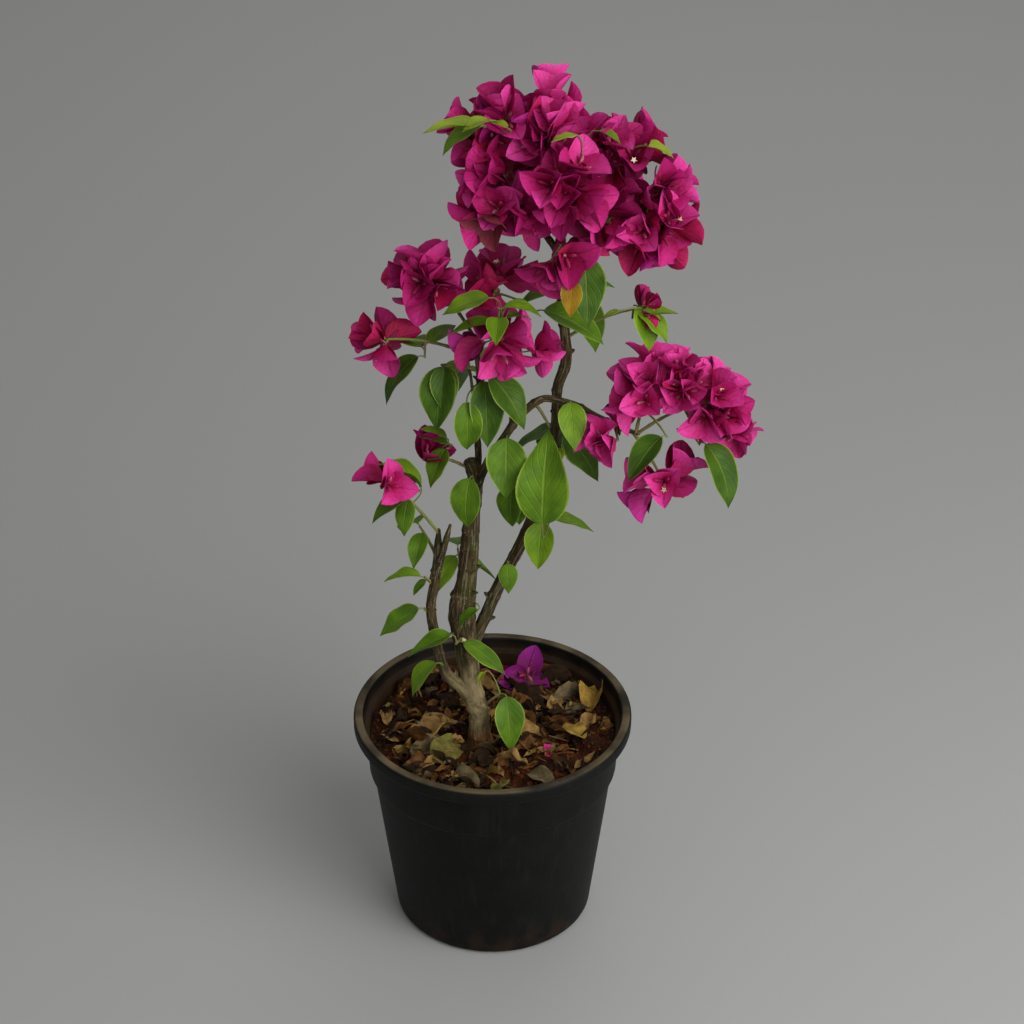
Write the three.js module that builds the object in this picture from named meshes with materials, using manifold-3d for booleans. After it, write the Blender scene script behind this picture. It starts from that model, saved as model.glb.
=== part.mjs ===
// Potted bougainvillea: a round nursery pot of soil with one woody shrub growing in it.
// Millimetres, +Z up, +Y away from the viewer. The origin is the centre of the pot's flat underside.
import * as THREE from 'three';
import { mergeVertices } from 'three/addons/utils/BufferGeometryUtils.js';
import Module from 'manifold-3d';

const wasm = await Module();
wasm.setup();

// Driving dimensions of the pot and its soil
const POT_HEIGHT = 210;
const RIM_RADIUS = 125;
const LIP_WIDTH = 9;
const LIP_HEIGHT = 14.5;
const COLLAR_RADIUS = 112;
const COLLAR_FLARE = 2.5;
const SHOULDER_HEIGHT = 151;
const SHOULDER_STEP = 3.5;
const BASE_RADIUS = 90;
const FOOT_ROUNDING = 4;
const WALL = 3;
const FLOOR = 4;
const POT_SIDES = 30;
const SOIL_TOP = 182;
const GAP = 0.3;

// Limbs: each row is x, y, z and radius of one bend, from the foot to the tip.
// A limb named as the parent carries the foot, which starts inside it and is cut clear of it.
const LIMBS = {
  trunk: { parent: null, bends: [
    [-11, -11, SOIL_TOP + GAP, 13], [-12, -12, 194, 9.5], [-13, -12, 219, 8.5], [-19, -11, 246, 9],
    [-22, -8, 272, 9.5], [-25, -4, 310, 10.5], [-22, -1, 350, 8.5], [-17, 3, 410, 7.2],
    [-14, 3, 448, 7], [-18, 2, 467, 6.2]] },
  stem_left: { parent: 'trunk', bends: [
    [-15, -13, 224, 6.5], [-27, -16, 245, 5.6], [-41, -18, 263, 4.8], [-49, -20, 299, 4.5],
    [-53, -20, 333, 4.3], [-48, -20, 366, 4.2], [-45, -20, 412, 3.2]] },
  stem_left_spur: { parent: 'stem_left', bends: [
    [-48, -20, 366, 3.4], [-42, -24, 391, 3], [-35, -27, 421, 2.4]] },
  stem_right: { parent: 'trunk', bends: [
    [-21, -4, 278, 6.6], [-7, 4, 305, 5.6], [7, 12, 338, 5.3], [28, 20, 380, 5.1], [47, 28, 433, 4.9],
    [55, 30, 482, 4.7], [56, 28, 523, 4.5], [63, 23, 553, 4.6], [60, 18, 595, 4.1], [55, 10, 662, 3.4]] },
  arch_inner: { parent: 'trunk', bends: [
    [-14, 1, 440, 3.7], [-4, -4, 467, 3.6], [7, -7, 489, 3.5], [24, -5, 515, 3.4], [42, 2, 527, 3.2]] },
  arch_outer: { parent: 'arch_inner', bends: [
    [42, 2, 527, 3.1], [58, 8, 522, 3.1], [73, 10, 516, 3], [90, 7, 507, 2.8], [108, 0, 501, 2.6],
    [124, -7, 499, 2.4]] },
  bough_inner: { parent: 'trunk', bends: [
    [-14, 4, 446, 3], [-11, 7, 468, 2.9], [-12, 3, 500, 2.7], [-10, 0, 546, 2.5], [-13, -6, 590, 2.2]] },
  bough_top_left: { parent: 'stem_right', bends: [
    [55, 10, 659, 2.8], [42, 7, 680, 2.6], [27, 3, 702, 2.2]] },
  bough_top_middle: { parent: 'stem_right', bends: [
    [55, 10, 660, 2.8], [57, 14, 690, 2.5], [54, 14, 716, 2.2]] },
  bough_top_right: { parent: 'stem_right', bends: [
    [56, 11, 656, 2.8], [78, 8, 672, 2.6], [98, 4, 692, 2.2]] },
};

// Masses: the stem leaves a limb at a share of its length and ends at tip. Twigs carry leaves, the
// first at the twig's end, each next one further back and turned about the twig; droop and length
// run from the first leaf to the last. Blooms fill a ball round the tip, as far as reach.
const GOLDEN = 137.5;
const MASSES = {
  head_top_left: { limb: 'bough_top_left', share: 0.97, tip: [0, 12, 760], reach: 50, blooms: 9, seed: 3,
    twigs: [{ tip: [-4, -20, 782], leaves: 2, heading: 190, turn: 9, droop: [-3, 10], length: [44, 38] }] },
  head_top: { limb: 'bough_top_middle', share: 0.98, tip: [50, 18, 770], reach: 51, blooms: 9, seed: 10 },
  head_top_right: { limb: 'bough_top_right', share: 0.98, tip: [104, 16, 738], reach: 52,
    blooms: 10, seed: 5 },
  head_right: { limb: 'bough_top_right', share: 0.9, tip: [127, -7, 691], reach: 51, blooms: 11, seed: 21 },
  head_front: { limb: 'bough_top_middle', share: 0.85, tip: [58, -30, 736], reach: 52, blooms: 14, seed: 13 },
  head_left: { limb: 'bough_top_left', share: 0.85, tip: [10, -16, 713], reach: 50, blooms: 9, seed: 34 },
  head_bottom: { limb: 'stem_right', share: 0.955, tip: [56, -26, 682], reach: 46, blooms: 7, seed: 2,
    twigs: [{ tip: [76, -20, 671], leaves: 1, heading: 276, turn: 0, droop: [56, 56], length: [58, 58] }] },
  head_back: { limb: 'bough_top_middle', share: 0.75, tip: [42, 50, 726], reach: 50, blooms: 8, seed: 55 },
  head_back_right: { limb: 'bough_top_right', share: 0.7, tip: [108, 44, 698], reach: 48,
    blooms: 7, seed: 89 },
  middle_left: { limb: 'bough_inner', share: 0.99, tip: [-50, -2, 641], reach: 43, blooms: 11, seed: 17 },
  middle_back: { limb: 'bough_inner', share: 0.93, tip: [8, 16, 632], reach: 42, blooms: 8, seed: 20,
    twigs: [{ tip: [38, -8, 614], leaves: 1, heading: 341, turn: 0, droop: [9, 9], length: [57, 57] }] },
  middle_front: { limb: 'bough_inner', share: 0.97, tip: [6, -33, 602], reach: 44, blooms: 7, seed: 23,
    twigs: [{ tip: [7, -49, 638], leaves: 5, heading: 352, turn: GOLDEN,
      droop: [-11, 8], length: [32, 38] }] },
  middle_far_left: { limb: 'bough_inner', share: 0.88, tip: [-84, -18, 594], reach: 38, blooms: 4, seed: 29,
    twigs: [{ tip: [-54, -19, 577], leaves: 3, heading: 205, turn: -83,
      droop: [26, -30], length: [50, 30] }] },
  right_middle: { limb: 'arch_outer', share: 0.97, tip: [130, -4, 538], reach: 48, blooms: 8, seed: 31,
    twigs: [{ tip: [145, -48, 519], leaves: 1, heading: 216, turn: 0, droop: [32, 32], length: [46, 46] }] },
  right_outer: { limb: 'arch_outer', share: 0.99, tip: [180, -4, 528], reach: 50, blooms: 8, seed: 37,
    twigs: [{ tip: [174, -20, 496], leaves: 2, heading: 320, turn: 120,
      droop: [38, 20], length: [61, 40] }] },
  right_low: { limb: 'arch_outer', share: 0.93, tip: [145, -20, 460], reach: 46, blooms: 5, seed: 41 },
  right_inner: { limb: 'arch_outer', share: 0.75, tip: [106, -20, 500], reach: 30,
    blooms: 2, size: 0.85, seed: 43 },
  buds_right: { limb: 'stem_right', share: 0.84, tip: [122, -2, 614], reach: 26,
    blooms: 3, size: 0.6, seed: 47,
    twigs: [{ tip: [116, -5, 606], leaves: 3, heading: 356, turn: -24,
      droop: [-13, 40], length: [34, 40] }] },
  low_left: { limb: 'stem_left', share: 0.99, tip: [-88, -26, 462], reach: 34, blooms: 2, seed: 53,
    twigs: [{ tip: [-60, -21, 452], leaves: 3, heading: 150, turn: 50,
      droop: [-20, 46], length: [48, 34] }] },
  low_middle: { limb: 'trunk', share: 0.93, tip: [-51, -10, 479], reach: 29, blooms: 1, size: 0.85, seed: 59,
    twigs: [{ tip: [-33, -15, 493], leaves: 2, heading: 168, turn: 63,
      droop: [-19, 38], length: [27, 36] }] },
  leaves_low_left: { limb: 'stem_left', share: 0.62, tip: [-59, -23, 334],
    twigs: [{ leaves: 1, heading: 196, turn: 0, droop: [24, 24], length: [42, 42] }] },
  leaves_low_front: { limb: 'trunk', share: 0.5, tip: [-31, -35, 305],
    twigs: [{ leaves: 2, heading: 199, turn: GOLDEN, droop: [12, 20], length: [42, 47] }] },
  leaves_foot_left: { limb: 'stem_left', share: 0.36, tip: [-45, -27, 279],
    twigs: [{ leaves: 1, heading: 201, turn: 0, droop: [30, 30], length: [39, 39] }] },
  leaves_foot_right: { limb: 'trunk', share: 0.2, tip: [7, -15, 238],
    twigs: [{ leaves: 1, heading: 283, turn: 0, droop: [64, 64], length: [52, 52] }] },
  leaves_left: { limb: 'stem_left', share: 0.78, tip: [-58, -24, 367],
    twigs: [{ leaves: 2, heading: 177, turn: 25, droop: [-5, 30], length: [33, 18] }] },
  leaf_trunk_front: { limb: 'trunk', share: 0.85, tip: [-16, -13, 461],
    twigs: [{ leaves: 1, heading: 247, turn: 0, droop: [57, 57], length: [48, 48] }] },
  leaves_inner_left: { limb: 'bough_inner', share: 0.8, tip: [-41, -14, 568],
    twigs: [{ leaves: 2, heading: 279, turn: -30, droop: [58, 57], length: [40, 55] }] },
  leaves_inner_right: { limb: 'bough_inner', share: 0.6, tip: [-6, -13, 558],
    twigs: [{ leaves: 2, heading: 327, turn: -47, droop: [32, 58], length: [54, 57] }] },
  leaf_arch: { limb: 'arch_inner', share: 0.55, tip: [14, -9, 498],
    twigs: [{ leaves: 1, heading: 268, turn: 0, droop: [54, 54], length: [52, 52] }] },
  leaf_arch_bend: { limb: 'arch_inner', share: 0.93, tip: [49, -12, 508],
    twigs: [{ leaves: 1, heading: 261, turn: 0, droop: [58, 58], length: [82, 82] }] },
  leaf_arch_end: { limb: 'arch_outer', share: 0.22, tip: [66, -3, 528],
    twigs: [{ leaves: 1, heading: 277, turn: 0, droop: [42, 42], length: [42, 42] }] },
  leaves_right: { limb: 'stem_right', share: 0.36, tip: [50, 14, 401],
    twigs: [{ leaves: 2, heading: 3, turn: -106, droop: [16, 52], length: [38, 43] }] },
  leaves_right_inner: { limb: 'stem_right', share: 0.42, tip: [20, 3, 444],
    twigs: [{ leaves: 2, heading: 246, turn: 24, droop: [63, 66], length: [42, 38] }] },
  leaf_right_foot: { limb: 'stem_right', share: 0.23, tip: [14, 5, 364],
    twigs: [{ leaves: 1, heading: 273, turn: 0, droop: [48, 48], length: [27, 27] }] },
  leaves_back_left: { limb: 'stem_left', share: 0.9, tip: [-62, 2, 402],
    twigs: [{ leaves: 2, heading: 118, turn: GOLDEN, droop: [20, 30], length: [40, 34] }] },
  leaves_back_low: { limb: 'trunk', share: 0.62, tip: [-30, 24, 366],
    twigs: [{ leaves: 3, heading: 92, turn: GOLDEN, droop: [16, 34], length: [42, 36] }] },
  leaves_back_inner: { limb: 'bough_inner', share: 0.5, tip: [-20, 26, 556],
    twigs: [{ leaves: 4, heading: 70, turn: GOLDEN, droop: [10, 40], length: [40, 50] }] },
  leaves_back_right: { limb: 'stem_right', share: 0.5, tip: [62, 54, 476],
    twigs: [{ leaves: 4, heading: 48, turn: GOLDEN, droop: [12, 44], length: [42, 56] }] },
  leaves_back_top: { limb: 'stem_right', share: 0.8, tip: [68, 56, 606],
    twigs: [{ leaves: 4, heading: 30, turn: GOLDEN, droop: [8, 40], length: [40, 54] }] },
};

// Sizes of one leaf, one bloom and the twigs
const LEAF = {
  widthShare: 0.56, thickness: 1.2, bend: 26, fold: 18, rise: 0.62, fall: 1.1, stops: [0.28, 0.66],
};
const LEAF_STEP = 5;
const PETIOLE_SHARE = 0.12;
const PETIOLE_RISE = 0.3;
const BRACTS = 3;
const BRACT_LENGTH = 33;
const BRACT = {
  widthShare: 0.82, thickness: 1, bend: 30, fold: 8, rise: 0.5, fall: 0.7, stops: [0.45],
};
const BRACT_FLARE = 42;
const CORE = 26;
const BLADE_MIDDLE = 0.45;
const BLOOM_SPACING = 20;
const BLOOM_DEPTH = [0.15, 1];
const BLOOM_SIZES = [0.86, 1.14];
const BLOOM_TILT = 0.8;
const BLOOM_TRIES = 2500;
const STEM_RADIUS = 1.6;
const TWIG_RADIUS = 1;
const STALK_RADIUS = 0.8;
const STEM_STOPS = 12;
const STEM_RISE = 0.14;
const LIMB_STOPS = 2;
const LIMB_SIDES = 7;

// Detail finer than this is dropped when shapes are joined, or than the next size where one fails
const SLIVERS = [0.12, 0.1, 0.07, 0.03, 0];

// Room between the things that grow, in millimetres past their own thickness
const CLEARANCE = 0.8;
const BLOOM_GAP = 1.5;
const STALK_LEAST = 5;
const THIN_CLEARANCE = 2.5;
const LEAF_CLEARANCE = 4.5;
const SPREAD_SHARES = [0.15, 0.3, 0.45, 0.6, 0.75, 0.88, 1];
const SPREAD_WIDTHS = [-1, -0.5, 0, 0.5, 1];
const STALK_SHARES = [0.4, 0.6, 0.8];

// Dry leaves on the soil: x, y, heading, rise and length of the ones that stand out
const DRY_LEAVES = [[-38, 12, 232, 4, 50], [88, 26, 70, 14, 40], [-48, -56, 66, 6, 48], [0, -88, 48, 10, 26]];
const LITTER_COUNT = 18;
const LITTER_SEED = 7;
const LITTER_REACH = 98;
const LITTER_RISES = [-2, 12];
const LITTER_LENGTHS = [24, 42];
const DRY_LEAF = { ...LEAF, widthShare: 0.5, bend: 34, fold: 26 };
const FALLEN_BLOOM = [30, 76];
const BLADE_ROOM = 5;
const SOIL_RINGS = [0, 18, 32, 46, 60, 74, 86, 98];
const HEAP = 4.6;
const HEAP_SWELL = 2.8;
const HEAP_RIPPLE = 1.6;

const radians = THREE.MathUtils.degToRad;
const mix = THREE.MathUtils.lerp;
const vector = (x, y, z) => new THREE.Vector3(x, y, z);
const add = (point, direction, distance) => point.clone().addScaledVector(direction, distance);
const build = (table, make) => (
  Object.fromEntries(Object.entries(table).map(([name, row]) => [name, make(row, name)])));

// A seeded stream of even numbers from 0 to 1, the same on every run
const STREAM = { spread: 2654435761, factor: 1664525, step: 1013904223, range: 2 ** 32 };
function seeded(seed) {
  let state = (seed * STREAM.spread) % STREAM.range;
  return () => {
    state = (Math.imul(state, STREAM.factor) + STREAM.step) >>> 0;
    return state / STREAM.range;
  };
}

// A geometry's bare places, with equal ones merged
function merge(geometry) {
  const bare = geometry.clone();
  bare.deleteAttribute('normal');
  bare.deleteAttribute('uv');
  return mergeVertices(bare);
}

// Closed geometry to solid, and solid back to geometry
function toSolid(geometry) {
  const merged = merge(geometry);
  return new wasm.Manifold(new wasm.Mesh({
    numProp: 3,
    vertProperties: merged.attributes.position.array,
    triVerts: new Uint32Array(merged.index.array),
  }));
}

function toGeometry(solid) {
  const mesh = solid.getMesh();
  const geometry = new THREE.BufferGeometry();
  geometry.setAttribute('position', new THREE.BufferAttribute(mesh.vertProperties, 3));
  geometry.setIndex(new THREE.BufferAttribute(mesh.triVerts, 1));
  geometry.computeVertexNormals();
  return geometry;
}

function closedGeometry(points, faces) {
  const geometry = new THREE.BufferGeometry().setFromPoints(points);
  geometry.setIndex(faces);
  return geometry;
}

// Whether every edge is shared by just two faces: dropping slivers can fold two edges into one
function edgesAreSingle(solid) {
  const corners = merge(toGeometry(solid)).index.array;
  const uses = new Map();
  for (let i = 0; i < corners.length; i += 3) {
    const face = [...corners.slice(i, i + 3)];
    const flat = new Set(face).size < 3;
    face.filter(() => !flat).forEach((corner, k) => {
      const next = face[(k + 1) % 3];
      const edge = Math.min(corner, next) * corners.length + Math.max(corner, next);
      uses.set(edge, (uses.get(edge) ?? 0) + 1);
    });
  }
  return [...uses.values()].every((count) => count === 2);
}

// Shapes joined into one solid and cut clear of others, without slivers and loose scraps
function fuse(shapes, cutters = []) {
  const whole = shapes.map(toSolid).reduce((joined, next) => joined.add(next));
  const cut = cutters.map(toSolid).reduce((rest, next) => rest.subtract(next), whole);
  const largest = SLIVERS.map((size) => cut.asOriginal().simplify(size).decompose()
    .reduce((best, next) => (next.volume() > best.volume() ? next : best)));
  return largest.find(edgesAreSingle);
}

// A closed tube: a ring of points at each stop, carried along without twisting
function tube(stops, sides) {
  const points = [];
  const faces = [];
  let side = vector(1, 0.3, 0.1);
  stops.forEach(({ point, radius }, i) => {
    const before = stops[Math.max(i - 1, 0)].point;
    const after = stops[Math.min(i + 1, stops.length - 1)].point;
    const ahead = after.clone().sub(before).normalize();
    side = add(side, ahead, -side.dot(ahead)).normalize();
    const across = ahead.clone().cross(side);
    for (let k = 0; k < sides; k += 1) {
      const angle = (2 * Math.PI * k) / sides;
      points.push(add(add(point, side, radius * Math.cos(angle)), across, radius * Math.sin(angle)));
    }
  });
  const lastRing = (stops.length - 1) * sides;
  const foot = points.push(stops[0].point) - 1;
  const tip = points.push(stops[stops.length - 1].point) - 1;
  for (let k = 0; k < sides; k += 1) {
    const next = (k + 1) % sides;
    for (let ring = 0; ring < lastRing; ring += sides) {
      faces.push(ring + k, ring + next, ring + sides + next, ring + k, ring + sides + next, ring + sides + k);
    }
    faces.push(foot, next, k, tip, lastRing + k, lastRing + next);
  }
  return closedGeometry(points, faces);
}

// A limb: a smooth curve through its bends, the radius running evenly from bend to bend
class Limb {
  constructor({ bends }) {
    const centres = bends.map(([x, y, z]) => vector(x, y, z));
    this.curve = new THREE.CatmullRomCurve3(centres, false, 'catmullrom', 0.5);
    this.radii = bends.map((bend) => bend[3]);
    this.last = bends.length - 1;
  }

  stop(share) {
    const bend = Math.min(Math.floor(share * this.last), this.last - 1);
    const radius = mix(this.radii[bend], this.radii[bend + 1], share * this.last - bend);
    return { point: this.curve.getPoint(share), radius };
  }

  stops(perBend) {
    const count = this.last * perBend;
    return Array.from({ length: count + 1 }, (_, i) => this.stop(i / count));
  }

  geometry() {
    return tube(this.stops(LIMB_STOPS), LIMB_SIDES);
  }

  // The same limb, larger by the gap on every side, to cut its neighbours clear
  cutter() {
    const stops = this.stops(LIMB_STOPS).map(({ point, radius }) => ({ point, radius: radius + GAP }));
    const last = stops.length - 1;
    const ahead = stops[last].point.clone().sub(stops[last - 1].point).normalize();
    stops[last].point = add(stops[last].point, ahead, GAP);
    return tube(stops, LIMB_SIDES);
  }
}

// A blade is a leaf or a bract. Its midrib bends in an arc away from its face, and its halves fold
// up along the midrib. Half its width at share u of the length follows u^rise * (1 - u)^fall.
class Blade {
  constructor(foot, along, face, length, kind) {
    Object.assign(this, { foot, along, face, length, kind });
    this.side = face.clone().cross(along);
    this.bend = radians(kind.bend);
    this.fold = radians(kind.fold);
    const widest = kind.rise / (kind.rise + kind.fall);
    this.half = (length * kind.widthShare) / 2 / (widest ** kind.rise * (1 - widest) ** kind.fall);
  }

  at(u, v, lift = 0) {
    const turn = this.bend * u;
    const radius = this.length / this.bend;
    const half = this.half * u ** this.kind.rise * (1 - u) ** this.kind.fall;
    const up = add(this.face.clone().multiplyScalar(Math.cos(turn)), this.along, Math.sin(turn));
    const ahead = add(this.foot, this.along, radius * Math.sin(turn));
    const middle = add(ahead, this.face, radius * (Math.cos(turn) - 1));
    const edge = add(middle, this.side, v * half * Math.cos(this.fold));
    return add(edge, up, Math.abs(v) * half * Math.sin(this.fold) + lift);
  }

  // Points all over the blade past its root, for testing what room it takes
  spread() {
    return SPREAD_SHARES.flatMap((u) => SPREAD_WIDTHS.map((v) => this.at(u, v)));
  }

  // The outline past the root, down the right edge, round the tip and back up the left edge
  outline() {
    const right = this.kind.stops.map((u) => this.at(u, -1));
    const left = this.kind.stops.map((u) => this.at(u, 1)).reverse();
    return [...right, this.at(1, 0), ...left];
  }
}

// A sprig: a thin three-sided stalk that opens into one leaf or three bracts, as one closed shape.
// Each blade stands on two corners of the stalk's end, and is a thin pillow: its outline is joined
// to one point above and one below its middle.
function sprig(start, blades, axis) {
  const end = blades[0].foot;
  const ahead = end.clone().sub(start).normalize().add(axis).normalize();
  const corner = (blade, around) => {
    const side = add(blade.side, ahead, -blade.side.dot(ahead)).normalize();
    const outward = side.clone().cross(ahead);
    const sideways = STALK_RADIUS * Math.sin(radians(around));
    return add(side.multiplyScalar(sideways), outward, STALK_RADIUS * Math.cos(radians(around)));
  };
  const single = blades.length === 1;
  const corners = single ? [-60, 60, 180].map((around) => corner(blades[0], around))
    : blades.map((blade) => corner(blade, -60));
  const points = [start, end].flatMap((place) => corners.map((offset) => place.clone().add(offset)));
  const heart = single ? 5 : points.push(add(end, ahead, STALK_RADIUS)) - 1;
  const faces = [0, 2, 1];
  corners.forEach((_, k) => {
    const next = (k + 1) % 3;
    faces.push(k, next, next + 3, k, next + 3, k + 3);
  });
  blades.forEach((blade, k) => {
    const outline = blade.outline().map((point) => points.push(point) - 1);
    const above = points.push(blade.at(BLADE_MIDDLE, 0, blade.kind.thickness / 2)) - 1;
    const below = points.push(blade.at(BLADE_MIDDLE, 0, -blade.kind.thickness / 2)) - 1;
    const round = [k + 3, ...outline, 3 + ((k + 1) % 3)];
    const inside = [...round, heart];
    round.forEach((point, i) => faces.push(round[(i + 1) % round.length], point, below));
    inside.forEach((point, i) => faces.push(point, inside[(i + 1) % inside.length], above));
  });
  return closedGeometry(points, faces);
}

function leafBlade(foot, heading, droop, length, kind = LEAF) {
  const turn = radians(heading);
  const dip = radians(droop);
  const along = vector(Math.cos(dip) * Math.cos(turn), Math.cos(dip) * Math.sin(turn), -Math.sin(dip));
  const side = vector(-Math.sin(turn), Math.cos(turn), 0);
  return new Blade(foot, along, along.clone().cross(side), length, kind);
}

// The bracts of one bloom stand round its axis, flared away from it
function bractBlades(foot, axis, spin, length) {
  const level = Math.abs(axis.z) < 0.95 ? vector(0, 0, 1) : vector(1, 0, 0);
  const side = level.cross(axis).normalize();
  const across = axis.clone().cross(side);
  const flare = radians(BRACT_FLARE);
  return Array.from({ length: BRACTS }, (_, k) => {
    const angle = spin + (2 * Math.PI * k) / BRACTS;
    const outward = add(side.clone().multiplyScalar(Math.cos(angle)), across, Math.sin(angle));
    const along = add(axis.clone().multiplyScalar(Math.cos(flare)), outward, Math.sin(flare));
    const face = add(axis.clone().multiplyScalar(Math.sin(flare)), outward, -Math.cos(flare));
    return new Blade(foot, along, face, length, BRACT);
  });
}

// A mass's stem rises a little above the straight line from its limb to its tip
const limbs = build(LIMBS, (row) => new Limb(row));
const stems = build(MASSES, ({ limb, share, tip }) => {
  const foot = limbs[limb].stop(share).point;
  const end = vector(...tip);
  const crown = add(foot.clone().lerp(end, 0.5), vector(0, 0, 1), STEM_RISE * foot.distanceTo(end));
  const curve = new THREE.QuadraticBezierCurve3(foot, crown, end);
  return Array.from({ length: STEM_STOPS + 1 }, (_, i) => (
    { point: curve.getPoint(i / STEM_STOPS), radius: mix(STEM_RADIUS, TWIG_RADIUS, i / STEM_STOPS) }));
});

// The space of a mass that blooms is a ball round its tip, cut off from the other balls at the
// planes where both reach alike. The power of a point is below zero inside the ball.
const balls = Object.entries(MASSES).filter(([, mass]) => mass.reach)
  .map(([name, mass]) => ({ name, centre: vector(...mass.tip), reach: mass.reach }));
const power = (point, ball) => point.distanceToSquared(ball.centre) - ball.reach ** 2;

function clearOfBalls(points, name) {
  const own = balls.find((ball) => ball.name === name);
  return balls.filter((ball) => ball !== own).every((ball) => points.every((point) => {
    const other = power(point, ball);
    const outside = other > 2 * CLEARANCE * ball.reach;
    return outside || (own && other - power(point, own) > 2 * CLEARANCE * own.centre.distanceTo(ball.centre));
  }));
}

const apart = (a, b) => a.every((point) => b.every((place) => place.distanceTo(point) > BLOOM_GAP));

// Nothing of a mass touches a limb or the stem of another mass
const limbPoints = Object.values(limbs).flatMap((limb) => limb.stops(4 * LIMB_STOPS));
function clearOfLimbs(points, name) {
  const others = Object.keys(stems).filter((other) => other !== name).flatMap((other) => stems[other]);
  return [...limbPoints, ...others].every(({ point, radius }) => (
    points.every((place) => place.distanceTo(point) > radius + THIN_CLEARANCE)));
}

const grownLeaves = [];
function clearOfLeaves(points, name) {
  return grownLeaves.filter((leaf) => leaf.name !== name).every((leaf) => (
    leaf.points.every((point) => points.every((place) => place.distanceTo(point) > LEAF_CLEARANCE))));
}

// Twigs of one mass: each leaves the stem at its nearest point, or is the stem's own end
function twigsOf(name, { twigs = [], tip }) {
  const path = stems[name].map((stop) => stop.point);
  return twigs.map((twig) => {
    const end = vector(...(twig.tip ?? tip));
    const foot = twig.tip && nearest(path, end);
    const back = (foot ?? path[STEM_STOPS / 2]).clone().sub(end).normalize();
    return { ...twig, end, foot, back };
  });
}

// Leaves of one mass: the first at its twig's end, the others further back and turned about it
function growLeaves(name, mass) {
  return twigsOf(name, mass).flatMap(({ end, back, leaves, heading, turn, droop, length }) => (
    Array.from({ length: leaves }, (_, k) => {
      const share = leaves > 1 ? k / (leaves - 1) : 0;
      const angle = heading + k * turn;
      const size = mix(...length, share);
      const joint = add(end, back, k * LEAF_STEP + 1);
      const sideways = vector(Math.cos(radians(angle)), Math.sin(radians(angle)), PETIOLE_RISE);
      const foot = add(joint, sideways, PETIOLE_SHARE * size);
      return { joint, blade: leafBlade(foot, angle, mix(...droop, share), size) };
    }))).filter(({ blade }) => {
    const points = blade.spread();
    const free = clearOfBalls(points, name) && clearOfLimbs(points, name) && clearOfLeaves(points, name);
    if (free) {
      grownLeaves.push({ name, points });
    }
    return free;
  });
}

function nearest(points, place) {
  return points.reduce((best, point) => (point.distanceTo(place) < best.distanceTo(place) ? point : best));
}

// Blooms of one mass: thrown at its ball facing outwards, and kept where they find room
function growBlooms(name, { tip, reach, blooms = 0, seed = 0, size = 1 }) {
  const draw = seeded(seed);
  const own = balls.find((ball) => ball.name === name);
  const joints = stems[name].slice(STEM_STOPS / 2).map((stop) => stop.point);
  const kept = [];
  for (let turn = 0; turn < BLOOM_TRIES && kept.length < blooms; turn += 1) {
    const height = 2 * draw() - 1;
    const round = 2 * Math.PI * draw();
    const level = Math.sqrt(1 - height ** 2);
    const outward = vector(level * Math.cos(round), level * Math.sin(round), height);
    const foot = add(vector(...tip), outward, (reach - CORE * size) * mix(...BLOOM_DEPTH, draw()));
    const axis = add(outward, vector(draw() - 0.5, draw() - 0.5, draw() - 0.2), BLOOM_TILT).normalize();
    const spin = 2 * Math.PI * draw();
    const length = BRACT_LENGTH * size * mix(...BLOOM_SIZES, draw());
    const bracts = bractBlades(foot, axis, spin, length);
    const heart = add(foot, axis, length / 2);
    const joint = nearest(joints, foot);
    const stalk = foot.clone().sub(joint);
    const middle = STALK_SHARES.map((share) => add(joint, stalk, share));
    const points = [...bracts.flatMap((bract) => bract.spread()), ...middle];
    const spacing = BLOOM_SPACING * size;
    if (stalk.length() > STALK_LEAST && stalk.dot(axis) > 0
      && kept.every((bloom) => bloom.heart.distanceTo(heart) > spacing && apart(bloom.points, points))
      && points.every((point) => power(point, own) < 0)
      && clearOfBalls(points, name) && clearOfLimbs(points, name)) {
      kept.push({ joint, axis, heart, bracts, points });
      joints.push(add(joint, stalk, 0.5));
    }
  }
  return kept;
}

// One mass: its stem, the twigs of its leaves, then the stalks of its blooms, each of which leaves
// the nearest joint of what has grown already
function growMass(name, mass) {
  const stem = stems[name];
  const shapes = [tube(stem.filter((_, i) => i % 4 === 0), 3)];
  for (const { end, foot } of twigsOf(name, mass).filter((twig) => twig.foot)) {
    shapes.push(tube([{ point: foot, radius: TWIG_RADIUS }, { point: end, radius: TWIG_RADIUS }], 3));
  }
  for (const { joint, blade } of leavesOf[name]) {
    shapes.push(sprig(joint, [blade], blade.along));
  }
  for (const { joint, axis, bracts } of growBlooms(name, mass)) {
    shapes.push(sprig(joint, bracts, axis));
  }
  return fuse(shapes, [limbs[mass.limb].cutter()]);
}
const leavesOf = build(MASSES, (mass, name) => growLeaves(name, mass));

// Pot: one turned profile, from the middle of its underside up the outside, over the lip and back
function lathe(profile) {
  const outline = profile.map(([r, z]) => new THREE.Vector2(r, z));
  return new THREE.LatheGeometry(outline, POT_SIDES).rotateX(Math.PI / 2);
}

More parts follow.
